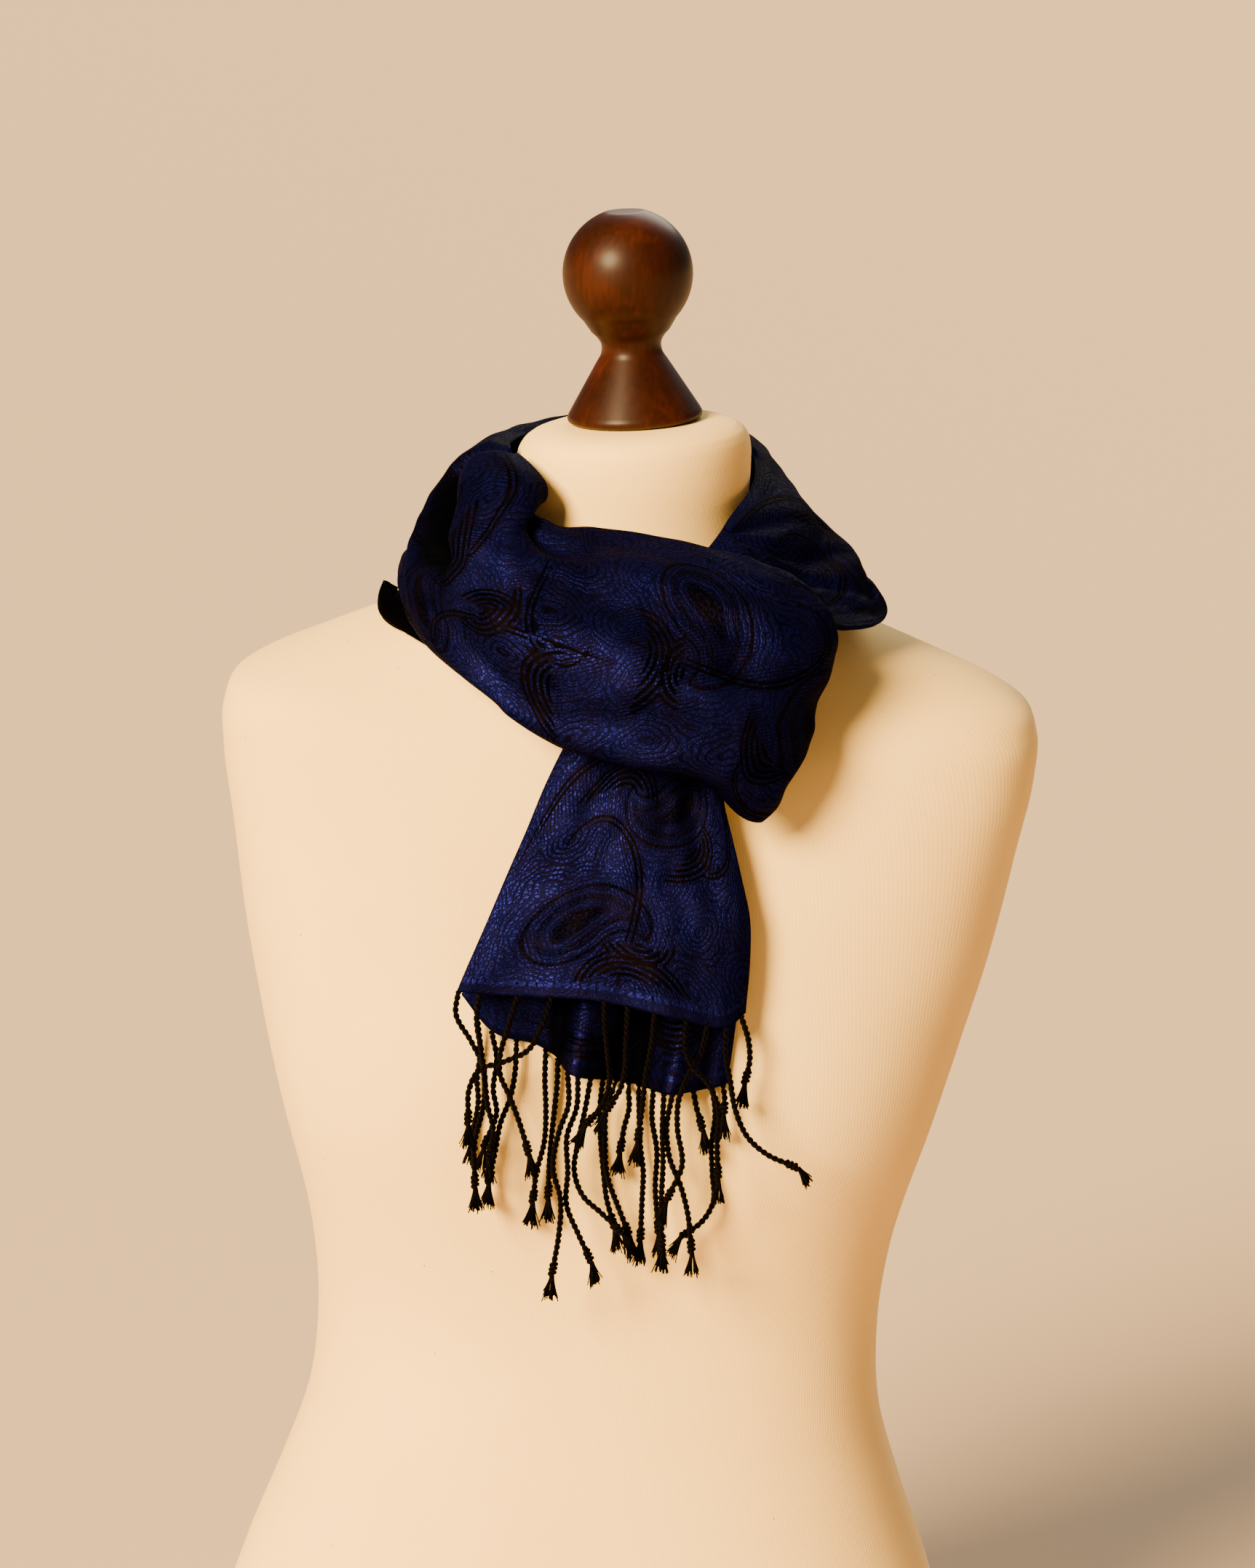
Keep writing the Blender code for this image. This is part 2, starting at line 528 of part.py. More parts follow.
def make_knob(mat, collection):
    """Turned finial: a ball on a narrow waist over a flared foot, seated on the neck cap."""
    outline = [(0, KNOB_TOP)]
    for angle in np.radians(np.linspace(73, -42, 11)):
        outline.append((KNOB_BALL * math.cos(angle), KNOB_CENTRE + KNOB_BALL * math.sin(angle)))
    outline += KNOB_FOOT
    bm = bmesh.new()
    points = [bm.verts.new((r * MM, 0, z * MM)) for r, z in outline]
    for a, b in zip(points, points[1:]):
        bm.edges.new((a, b))
    mesh = bpy.data.meshes.new("knob")
    bm.to_mesh(mesh)
    bm.free()
    obj = bpy.data.objects.new("neck_knob", mesh)
    mesh.materials.append(mat)
    collection.objects.link(obj)
    turn = obj.modifiers.new("turn", "SCREW")
    turn.steps = turn.render_steps = KNOB_SEGMENTS
    turn.use_merge_vertices = True
    turn.merge_threshold = 0.0001
    turn.use_smooth_shade = True
    obj.rotation_euler = (CAP_FORWARD, -CAP_SIDE_LEAN, 0)
    obj.location = np.array([0, RING[-1, 4], RING[-1, 0] + KNOB_SEAT]) * MM
    return obj


def cloth_wall(grid, name, mat, collection):
    """A sheet of cloth as a closed wall, half of it on each side of the sheet."""
    obj = finish(loft(grid), name, mat, collection)
    wall = obj.modifiers.new("wall", "SOLIDIFY")
    wall.thickness = CLOTH * MM
    wall.offset = 0
    return obj


def steps(first, last, spacing):
    """Even steps between two lengths, close to the spacing."""
    return np.linspace(first, last, max(3, round((last - first) / spacing) + 1))


def stretch_grid(stretch, first, last):
    """Points of a stretch between two of its sections, SEAM clear of the next stretch."""
    start = stretch.place(first) * stretch.length + SEAM / 2
    end = stretch.place(last) * stretch.length - SEAM / 2
    u = steps(start, end, CLOTH_STEP) / stretch.length
    return stretch.grid(u, np.linspace(0, 1, CLOTH_ACROSS + 1))


def back_tail_grid():
    """The longer tail: close behind the first tail at its top, on its own sections below."""
    ends, tail = STRETCHES["ends"], STRETCHES["back tail"]
    v = np.linspace(0, 1, CLOTH_ACROSS + 1)
    u = np.linspace(ends.place("in the loop") + 0.002, ends.place("tail upper"), 9)
    inside = 0.05 + 0.83 * v
    back = np.interp(np.arange(len(u)), (0, 1), UNDERLAP)[:, None, None]
    upper = ends.plain(u, inside) - ends.outward(u, inside) * back
    lower = tail.grid(np.linspace(0, 1, 11), v)
    share = ease(np.linspace(0, 1, 3))[1:, None, None]
    bridge = upper[-1] + (lower[1] - upper[-1]) * share
    return np.concatenate([upper, bridge, lower[2:]])


def hem_line(grid):
    """The middle of the strip below a hem: its points moved off the cloth, square to the hem."""
    hem = grid[-1]
    along = np.gradient(hem, axis=0)
    down = hem - grid[-2]
    down = down - along * ((down * along).sum(axis=1) / (along**2).sum(axis=1))[:, None]
    return hem + down / np.linalg.norm(down, axis=1)[:, None] * (SEAM + HEM_STRIP / 2)


def strand(line, depth, places):
    """A strand's route from the strip and its radius at each point, with a knot and a tuft."""
    x = np.array([place[0] for place in places], float)
    z = np.array([place[1] for place in places], float)
    z[0] = np.interp(x[0], line[:, 0], line[:, 2])
    away = ease((z[0] - z) / ROOT_DROP)
    y = np.interp(x[0], line[:, 0], line[:, 1]) - away * depth * STRAND_DEPTH
    route = np.stack([x, y, z], -1)
    gaps = np.linalg.norm(np.diff(route, axis=0), axis=1)
    length = np.concatenate([[0.0], np.cumsum(gaps)])
    points = through(length, route, steps(0, length[-1], STRAND_STEP))
    onward = points[-1] - points[-2]
    onward = onward / np.linalg.norm(onward) + np.array([0, 0, -1.0])
    points = np.concatenate([points, points[-1] + onward / 2 * np.array(KNOT_PLACES)[:, None]])
    points[1:] = clear_of_form(points[1:], STRAND_CLEAR + (depth + 1) * STRAND_DEPTH)
    plain = [STRAND / 2] * (len(points) - len(KNOT_PLACES) - 1)
    return points, plain + KNOT_RADII


def fringe_node(name, grid, strands, mat, collection, helpers):
    """Twisted strands that hang from a narrow strip just below a hem, as one body."""
    line = hem_line(grid)
    strip = tube("strip", [line], [[HEM_STRIP / 2] * len(line)])
    made = [strand(line, depth, places) for depth, *places in strands]
    cords = tube("strands", [route for route, _ in made], [radius for _, radius in made])
    obj = finish(strip, name, mat, collection)
    cutter = bpy.data.objects.new(name + "_strands", cords)
    helpers.objects.link(cutter)
    cutter.hide_render = True
    cutter.display_type = "WIRE"
    join = obj.modifiers.new("strands", "BOOLEAN")
    join.operation = "UNION"
    join.solver = "EXACT"
    join.object = cutter
    return obj


# Nodes of the shawl: name, stretch, from one section to another.
SHAWL_NODES = [
    ("shawl_back", "loop", "seam", "back left"),
    ("shawl_left_shoulder", "loop", "back left", "left chest"),
    ("shawl_front_swathe", "loop", "left chest", "under right"),
    ("shawl_under_leg", "loop", "under right", "under back"),
    ("shawl_right_collar", "ends", "seam", "in the loop"),
    ("shawl_front_tail", "ends", "in the loop", "hem"),
]


def main():
    clear_scene()
    part = collection_of("silk_shawl_on_bust_form")
    helpers = collection_of("cutters")
    cream = material("cream_jersey", (0.80, 0.66, 0.44), 0.9)
    wood = material("lacquered_beech", (0.10, 0.022, 0.008), 0.25)
    navy = material("navy_jacquard_silk", (0.012, 0.018, 0.09), 0.45)
    cord = material("dark_silk_cord", (0.010, 0.007, 0.006), 0.6)
    make_form(cream, part)
    make_knob(wood, part)
    for name, stretch, first, last in SHAWL_NODES:
        grid = stretch_grid(STRETCHES[stretch], first, last)
        cloth_wall(grid, name, navy, part)
        if name == "shawl_front_tail":
            fringe_node("fringe_front", grid, FRONT_FRINGE, cord, part, helpers)
    back_tail = back_tail_grid()
    cloth_wall(back_tail, "shawl_back_tail", navy, part)
    fringe_node("fringe_back", back_tail, BACK_FRINGE, cord, part, helpers)


if __name__ == "__main__":
    main()
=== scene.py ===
# %% [markdown]
# # A silk shawl on a dress form
#
# A narrow shawl of navy silk jacquard is doubled, laid round the neck of a cloth-covered dress
# form, and its two ends are drawn through the bight. The solids of the part already have the
# shawl's big shape. This script dresses them: a finer cloth with its creases and woven pattern,
# twisted fringe, the knitted cover of the form and its lacquered wooden knob.

import math

import bmesh
import bpy
import numpy as np
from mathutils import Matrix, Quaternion, Vector


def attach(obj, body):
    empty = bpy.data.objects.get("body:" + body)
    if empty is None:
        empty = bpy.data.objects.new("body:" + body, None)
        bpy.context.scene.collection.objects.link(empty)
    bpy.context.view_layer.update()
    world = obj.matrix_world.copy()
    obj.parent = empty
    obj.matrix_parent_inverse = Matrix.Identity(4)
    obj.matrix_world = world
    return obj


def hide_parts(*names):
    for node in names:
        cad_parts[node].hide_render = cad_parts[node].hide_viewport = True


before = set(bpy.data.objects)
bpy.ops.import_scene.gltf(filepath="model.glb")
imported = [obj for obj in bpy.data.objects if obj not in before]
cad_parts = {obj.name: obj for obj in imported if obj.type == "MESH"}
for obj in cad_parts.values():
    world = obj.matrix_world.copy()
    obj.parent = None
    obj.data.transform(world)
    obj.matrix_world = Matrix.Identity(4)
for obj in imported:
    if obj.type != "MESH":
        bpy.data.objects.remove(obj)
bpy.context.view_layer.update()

MM = 0.001

# %% [markdown]
# ## Camera
#
# The photograph was taken with a long lens from a little above the shoulders, with the camera
# tipped slightly to one side. The aim is a place in the middle of the chest. A long lens keeps
# the form's sides nearly parallel, so the lens length follows from how many millimetres one
# pixel covers at that distance.

# %% Camera
ELEVATION = math.radians(12.0)
DISTANCE = 3.0
AIM = Vector((0.0, 0.0, 0.5))
ROLL = math.radians(2.4)
MM_PER_PIXEL = 0.357
PHOTO_WIDTH, PHOTO_HEIGHT = 1725, 2156
AIM_PIXEL_X = 852  # the aim shows this far from the picture's left edge


def put_in_scene(name, data):
    """A new object that shows the data."""
    made = bpy.data.objects.new(name, data)
    bpy.context.scene.collection.objects.link(made)
    return made


camera_data = bpy.data.cameras.new("camera")
camera_data.sensor_width = 36.0
camera_data.lens = camera_data.sensor_width * DISTANCE / (PHOTO_HEIGHT * MM_PER_PIXEL * MM)
camera_data.shift_x = (PHOTO_WIDTH / 2 - AIM_PIXEL_X) / PHOTO_HEIGHT
camera = put_in_scene("camera", camera_data)
towards_camera = Vector((0.0, -math.cos(ELEVATION), math.sin(ELEVATION)))
camera.location = AIM + towards_camera * DISTANCE
camera.rotation_mode = "QUATERNION"
level = (-towards_camera).to_track_quat("-Z", "Y")
camera.rotation_quaternion = level @ Quaternion((0, 0, 1), ROLL)
bpy.context.scene.camera = camera
print("lens", round(camera_data.lens, 1), "mm")

# %% [markdown]
# ## Small helpers
#
# Colours are written as the hex values that a colour picker shows and are turned to linear
# light here. One function adds a shader node of any kind, sets what it is told to and links what
# goes into it. The others turn a grid of points into a mesh, with a place on the flat cloth for
# each point, and put a finished mesh into the scene.

# %% Colours, materials and nodes
def linear(hex_colour):
    """Linear RGBA of an sRGB hex colour such as '#2a3180'."""
    parts = [int(hex_colour[i : i + 2], 16) / 255 for i in (1, 3, 5)]
    return (*[c / 12.92 if c <= 0.04045 else ((c + 0.055) / 1.055) ** 2.4 for c in parts], 1.0)


def new_material(name, **constants):
    """A material with its Principled shader's own sockets set. Returns it, its tree and shader."""
    material = bpy.data.materials.new(name)
    material.use_nodes = True
    shader = material.node_tree.nodes["Principled BSDF"]
    for key, value in constants.items():
        shader.inputs[key.replace("_", " ")].default_value = value
    return material, material.node_tree, shader


def add_node(tree, kind, inputs=(), out=0, stops=(), **settings):
    """Adds a node to a material and returns one of its outputs.

    inputs is a list in the order of the node's sockets, or a dict by their names. Each one is a
    constant, or the output of another node to link. stops are the places and colours of a ramp.
    """
    node = tree.nodes.new("ShaderNode" + kind)
    for name, value in settings.items():
        setattr(node, name, value)
    for key, value in inputs.items() if isinstance(inputs, dict) else enumerate(inputs):
        if isinstance(value, bpy.types.NodeSocket):
            tree.links.new(value, node.inputs[key])
        else:
            node.inputs[key].default_value = value
    elements = node.color_ramp.elements if stops else ()
    while len(elements) < len(stops):
        elements.new(0.5)
    for element, (place, colour) in zip(elements, stops):
        element.position = place
        element.color = linear(colour) if isinstance(colour, str) else (colour,) * 3 + (1.0,)
    return node.outputs[out]


# %% Lengths, meshes and pieces
def unit(vectors):
    """The same directions at length 1."""
    return vectors / np.linalg.norm(vectors, axis=-1, keepdims=True)


def run_length(points):
    """How far along a line of points each of them lies."""
    steps = np.linalg.norm(np.diff(points, axis=0), axis=1)
    return np.concatenate([[0.0], np.cumsum(steps)])


def faces_between(index, closed_round):
    """Corners of the faces between the rows of a grid of point numbers."""
    right = np.roll(index, -1, axis=1) if closed_round else index[:, 1:]
    left = index if closed_round else index[:, :-1]
    return np.stack([left[:-1], right[:-1], right[1:], left[1:]], -1).reshape(-1, 4)


def smooth_mesh(name, points, faces):
    """A smooth shaded mesh of points in millimetres."""
    mesh = bpy.data.meshes.new(name)
    mesh.from_pydata((points.reshape(-1, 3) * MM).tolist(), [], faces)
    mesh.shade_smooth()
    return mesh


def close_round(mesh):
    """Welds what meets on the axis of a round mesh, fills its open ends and faces it outwards."""
    bm = bmesh.new()
    bm.from_mesh(mesh)
    bmesh.ops.remove_doubles(bm, verts=bm.verts, dist=0.02 * MM)
    bmesh.ops.holes_fill(bm, edges=[edge for edge in bm.edges if edge.is_boundary])
    bmesh.ops.recalc_face_normals(bm, faces=bm.faces)
    bm.to_mesh(mesh)
    bm.free()


def round_mesh(name, rings):
    """A closed mesh over a stack of rings."""
    index = np.arange(rings[..., 0].size).reshape(rings.shape[:2])
    mesh = smooth_mesh(name, rings, faces_between(index, True).tolist())
    close_round(mesh)
    return mesh


def add_piece(name, mesh, material, slot, *nodes):
    """Puts a mesh into the scene: it rides on the part and stands for the named CAD nodes."""
    piece = put_in_scene(name, mesh)
    mesh.materials.append(material)
    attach(piece, "root")
    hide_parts(*nodes)
    return piece


# %% [markdown]
# ## The dress form
#
# A display form is a moulded body with a knitted jersey pulled over it. It has no corners, so
# its surface is given by a few level rings: half width, depth to the front and to the back, and
# how square the ring is. Smooth curves through those values fill in the rest. The solids use the
# same rings with fewer faces.

# %% Smooth curves
def through(knots, values, where, lead=None):
    """Smooth curve through the values at the knots, read at the places in where.

    The curve leaves its first knot with the slope in lead, where one is given.
    """
    knots = np.asarray(knots, float)
    values = np.asarray(values, float)
    flat = values.reshape(len(knots), -1)
    step = np.diff(knots)
    slope = np.diff(flat, axis=0) / step[:, None]
    tangent = np.empty_like(flat)
    tangent[0] = slope[0] if lead is None else lead.ravel()
    tangent[-1] = slope[-1]
    before, after = step[:-1, None], step[1:, None]
    tangent[1:-1] = (slope[:-1] * after + slope[1:] * before) / (before + after)
    where = np.clip(np.asarray(where, float), knots[0], knots[-1])
    i = np.clip(np.searchsorted(knots, where, side="right") - 1, 0, len(step) - 1)
    t = ((where - knots[i]) / step[i])[:, None]
    h = step[i][:, None]
    made = (
        (2 * t**3 - 3 * t**2 + 1) * flat[i]
        + (t**3 - 2 * t**2 + t) * h * tangent[i]
        + (3 * t**2 - 2 * t**3) * flat[i + 1]
        + (t**3 - t**2) * h * tangent[i + 1]
    )
    return made.reshape((len(where),) + values.shape[1:])


def ease(t):
    """0 to 1 with level ends."""
    t = np.clip(t, 0.0, 1.0)
    return t * t * (3 - 2 * t)


# %% Rings of the form
NECK_TOP = 673.0  # the neck leans between these two heights
NECK_BASE = 630.0
CAP_FORWARD = math.radians(1.0)  # the neck cap slopes down towards the front
CAP_SIDE_LEAN = math.radians(5.2)  # and a little down towards the left
# A row for each ring: height, half width, depth to the front, depth to the back,
# middle of the ring forward (-) or back (+), squareness, middle of the ring to the right.
RINGS = np.array("""
0 184 111 119 0 2.3 0
50 186 112 122 0 2.3 0
107 171 108 116 0 2.3 0
150 155 102 104 0 2.3 0
188 143 96 93 0 2.3 0
235 139.5 92 84 0 2.3 0
280 144 94 82 0 2.3 0
346 161 99 88 0 2.4 0.4
382 170.8 101 93 0 2.5 1.0
426 182 102 97 0 2.7 2.3
481 192 99 99 0 2.9 3.5
517 198.2 91 97 0 3.0 3.9
537 198.5 84 92 0 3.0 3.8
549 193.5 78 86 1 2.9 3.6
559.5 178 73 80 2 2.6 3.2
571 152 68 74 3 2.4 2.6
586 116 63 69 4 2.2 1.6
600 86 60 65 4 2.1 0.6
611 68 58 62 4 2.0 0
622 60 57 60 3 2.0 0
638 57 56.5 58 2 2.0 0
658 57 56.5 57 -1 2.0 0
667 56.5 56 56.5 -2 2.0 0
672.4 54.8 54.4 54.8 -3 2.0 0
676.4 51.4 51 51.4 -4 2.0 0
678.9 46.5 46.3 46.5 -4 2.0 0
680.4 39.5 39.5 39.5 -4 2.0 0
680.9 33.5 33.5 33.5 -4 2.0 0
681 10 10 10 -4 2.0 0
""".split(), float).reshape(-1, 7)
# The two swells of the chest: how far from the middle, at what height, how wide and how high
# they are, and the depth over which they fade out towards the sides.
BUST = {"apart": 84, "height": 352, "spread": 52, "rise": 20, "fade": 60}


def ring_sizes(z):
    """Half width, front, back, middle, squareness and shift of the form at the heights z."""
    return through(RINGS[:, 0], RINGS[:, 1:], np.asarray(z, float).ravel())


def form_radius(angle, z):
    """Distance of the form's surface from its upright axis, at an angle and a height."""
    angle, z = np.broadcast_arrays(np.asarray(angle, float), np.asarray(z, float))
    half, front, back, _, square, _ = ring_sizes(z).T
    a, c = np.cos(angle).ravel(), np.sin(angle).ravel()
    depth = np.where(c < 0, front, back)
    r = ((np.abs(a) / half) ** square + (np.abs(c) / depth) ** square) ** (-1 / square)
    x, y = r * a, r * c
    for side in (-1, 1):
        away = (x - side * BUST["apart"]) ** 2 + (z.ravel() - BUST["height"]) ** 2
        swell = BUST["rise"] * np.exp(-away / (2 * BUST["spread"] ** 2))
        r = r + np.where(y < 0, swell * np.minimum(1, -y / BUST["fade"]), 0)
    return r.reshape(angle.shape)


def lean_cap(points):
    """Tilts the top of the neck, and leaves the shoulders level."""
    share = ease((points[..., 2] - NECK_BASE) / (NECK_TOP - NECK_BASE))
    rise = points[..., 1] * math.tan(CAP_FORWARD) + points[..., 0] * math.tan(CAP_SIDE_LEAN)
    moved = points.copy()
    moved[..., 2] += share * rise
    return moved


# %% Mesh of the form
FORM_SIDES = 128
UNDERSIDE_EDGE = 6.0  # the underside is rounded off over this height
UNDERSIDE_ROWS = (0.0, 0.6, 2.0, UNDERSIDE_EDGE)
# Where the mesh has its rows: from, to and step. They are closer where the form curves more.
ROW_BANDS = [(12, 520, 8.0), (520, 672, 2.5), (672, 680.8, 0.6)]


def form_mesh():
    """The form's surface, ring by ring from the underside to the top of the neck."""
    angles = np.linspace(0, 2 * math.pi, FORM_SIDES, endpoint=False)
    bands = [np.arange(*band) for band in ROW_BANDS]
    rows = []
    for z in np.concatenate([UNDERSIDE_ROWS, *bands, [680.9, 681]]):
        _, _, _, middle, _, side = ring_sizes(z)[0]
        r = form_radius(angles, np.full_like(angles, z))
        if z < UNDERSIDE_EDGE:
            r = r - UNDERSIDE_EDGE + math.sqrt(UNDERSIDE_EDGE**2 - (UNDERSIDE_EDGE - z) ** 2)
        row = [side + r * np.cos(angles), middle + r * np.sin(angles), np.full_like(r, z)]
        rows.append(np.stack(row, -1))
    return round_mesh("form_cover", lean_cap(np.array(rows)))


# %% [markdown]
# ### Cotton jersey
#
# The cover is cotton jersey, a fine weft knit. It is matt and slightly fuzzy, so it has a high
# roughness and a little sheen at the edges. Its stitches stand in upright rows, called wales,
# about 0.9 mm wide. They are drawn wider here, because finer ones would vanish in the picture:
# 1.7 mm at the chest and 1.3 mm at the waist. The same number of wales goes round the form at
# every height, as on a stretched tube of jersey, so they are finest at the neck. A little lint
# and a faint unevenness keep it from looking like paint.

# %% Jersey material
WALES = 560  # upright rows of stitches round the form
jersey, tree, shader = new_material("cotton_jersey_knit", Roughness=0.92, Specular_IOR_Level=0.2,
                                    Sheen_Weight=0.05)
place = add_node(tree, "TexCoord", out="Object")
right, back, _ = add_node(tree, "SeparateXYZ", [place]).node.outputs
round_form = add_node(tree, "Math", [back, right], operation="ARCTAN2")
count = add_node(tree, "Math", [round_form, WALES / (2 * math.pi)], operation="MULTIPLY")
wales = add_node(tree, "Math", [count, 0.5], operation="PINGPONG")
# Uneven dye every 110 mm, fuzz every 1.1 mm, and a fleck of lint every 22 mm.
blotch = add_node(tree, "TexNoise", {"Vector": place, "Scale": 9.0, "Detail": 4.0})
fuzz = add_node(tree, "TexNoise", {"Vector": place, "Scale": 900.0, "Detail": 2.0})
fleck = add_node(tree, "TexVoronoi", {"Vector": place, "Scale": 45.0}, out="Distance")
tone = add_node(tree, "ValToRGB", [blotch], stops=[(0.3, "#efca7c"), (0.7, "#f6d485")])
lint = add_node(tree, "ValToRGB", [fleck], stops=[(0.018, 0.45), (0.03, 1.0)])
colour = add_node(tree, "Mix", {0: 1.0, 6: tone, 7: lint}, out=2, data_type="RGBA",
                  blend_type="MULTIPLY")
tree.links.new(colour, shader.inputs["Base Color"])
knit = add_node(tree, "Math", [wales, fuzz], operation="ADD")
bump = add_node(tree, "Bump", {"Strength": 0.25, "Distance": 0.0004, "Height": knit})
tree.links.new(bump, shader.inputs["Normal"])

cover = form_mesh()
add_piece("form_cover", cover, jersey, "cream_jersey", "bust_form")
print("form:", len(cover.polygons), "faces")

# %% [markdown]
# ## The knob
#
# The knob is turned beech, stained red-brown and lacquered. A lathe makes it, so it is one
# outline spun round: a ball with a small flat on top, a narrow waist and a flared foot.

# %% Knob outline
KNOB_BALL = 31.5  # radius of the ball
KNOB_CENTRE = 71.5  # height of its centre over the foot
KNOB_ARC = (72, -44)  # the ball's outline, from the flat on top to the waist, in degrees
KNOB_FLAT = 9.2  # radius of the flat disc on top of the ball
KNOB_TOP = KNOB_CENTRE + math.sqrt(KNOB_BALL**2 - KNOB_FLAT**2)
KNOB_SEAT = 0.4  # gap between the foot and the cap
KNOB_SIDES = 96
KNOB_CREASE = 35  # edges sharper than this many degrees stay crisp
# Radius and height from the waist down to the foot's edge.
KNOB_FOOT = [(19, 43.8), (17.0, 41.9), (15.6, 40.0), (14.7, 38.2), (14.4, 36.4), (14.6, 34.4),
             (15.1, 32.6), (16.0, 31.0), (17.2, 29.2), (24.6, 17.0), (31.6, 5.4), (32.4, 3.9),
             (32.8, 2.6), (32.6, 1.4), (31.8, 0.6), (30.5, 0.0)]


def knob_mesh():
    """The outline spun round."""
    outline = [(0.0, KNOB_TOP), (KNOB_FLAT * 0.9, KNOB_TOP - 0.1)]
    for angle in np.radians(np.linspace(*KNOB_ARC, 40)):
        outline.append((KNOB_BALL * math.cos(angle), KNOB_CENTRE + KNOB_BALL * math.sin(angle)))
    r, z = np.array([*outline, *KNOB_FOOT, (0.0, 0.0)]).T
    turn = np.linspace(0, 2 * math.pi, KNOB_SIDES, endpoint=False)
    rings = [np.outer(r, np.cos(turn)), np.outer(r, np.sin(turn)), np.outer(z, np.ones_like(turn))]
    mesh = round_mesh("turned_knob", np.stack(rings, -1))
    mesh.set_sharp_from_angle(angle=math.radians(KNOB_CREASE))
    return mesh


# %% [markdown]
# ### Lacquered beech
#
# Beech has a fine straight grain with short dark flecks. Stain soaks into it unevenly, and two
# coats of lacquer lie over it as a smooth clear layer. So the wood itself is fairly rough, and
# the shader's coat gives the sharp gloss. The grain runs up the knob, 1 to 2 mm apart.

# %% Wood material
wood, tree, shader = new_material("stained_beech_lacquered", Roughness=0.45, Coat_Weight=0.13,
                                  Coat_Roughness=0.28, Coat_IOR=1.4, Specular_IOR_Level=0.1)
place = add_node(tree, "TexCoord", out="Object")
drawn_up = add_node(tree, "Mapping", {"Vector": place, "Scale": (1.0, 1.0, 0.07)})
# Grain every 2.4 mm across and 34 mm up, and clouds of stain every 26 mm.
grain = add_node(tree, "TexNoise", {"Vector": drawn_up, "Scale": 420.0, "Detail": 5.0,
                                    "Roughness": 0.6})
cloud = add_node(tree, "TexNoise", {"Vector": place, "Scale": 38.0, "Detail": 3.0})
both = add_node(tree, "Math", [grain, 0.62, cloud], operation="MULTIPLY_ADD")
stain = add_node(tree, "ValToRGB", [both],
                 stops=[(0.55, "#1b0800"), (0.80, "#270d01"), (1.05, "#351404")])
tree.links.new(stain, shader.inputs["Base Color"])
bump = add_node(tree, "Bump", {"Strength": 0.08, "Distance": 0.0002, "Height": grain})
tree.links.new(bump, shader.inputs["Normal"])

knob = add_piece("turned_knob", knob_mesh(), wood, "lacquered_beech", "neck_knob")
knob.rotation_euler = (CAP_FORWARD, -CAP_SIDE_LEAN, 0)
knob.location = Vector((0, RINGS[-1, 4], RINGS[-1, 0] + KNOB_SEAT)) * MM
knob.data.transform(knob.matrix_basis)
knob.matrix_basis.identity()
print("knob:", len(knob.data.polygons), "faces")

# %% [markdown]
# ## The shawl's cloth
#
# Worn cloth is a smooth sheet that passes through a few known sections, with folds pressed into
# it. The tables below are the sections and the largest folds of the solids, in millimetres. The
# finer creases are added here: each is a straight run with a width and a depth at both ends, and
# its cross-section is a bell curve, so it fades out softly.

# %% Sheet and folds
CLOTH = 0.9  # thickness of the doubled silk in the picture
FAR = 1e3  # a distance that stands for none
FORM_GAP = CLOTH / 2 + 1.4  # least clearance of the cloth's middle from the form


def form_depth(points):
    """How far the points are outside the form, and the direction that leads away from it."""
    p = points.reshape(-1, 3)

    def height(q):
        sizes = ring_sizes(q[:, 2])
        x, y = q[:, 0] - sizes[:, 5], q[:, 1] - sizes[:, 3]
        return np.hypot(x, y) - form_radius(np.arctan2(y, x), q[:, 2])

    here = height(p)
    nearby = np.eye(3) / 2
    slope = np.stack([height(p + step) - height(p - step) for step in nearby], -1)
    size = np.maximum(np.linalg.norm(slope, axis=1), 1e-6)
    return (here / size).reshape(points.shape[:-1]), (slope / size[:, None]).reshape(points.shape)


def clear_of_form(points, gap=FORM_GAP):
    """The points, with those nearer the form than the gap moved out to it."""
    for _ in range(5):
        depth, away = form_depth(points)
        points = points + away * np.maximum(0, gap - depth)[..., None]
    return points


PROBE = 0.002  # part of a stretch over which its slope is measured


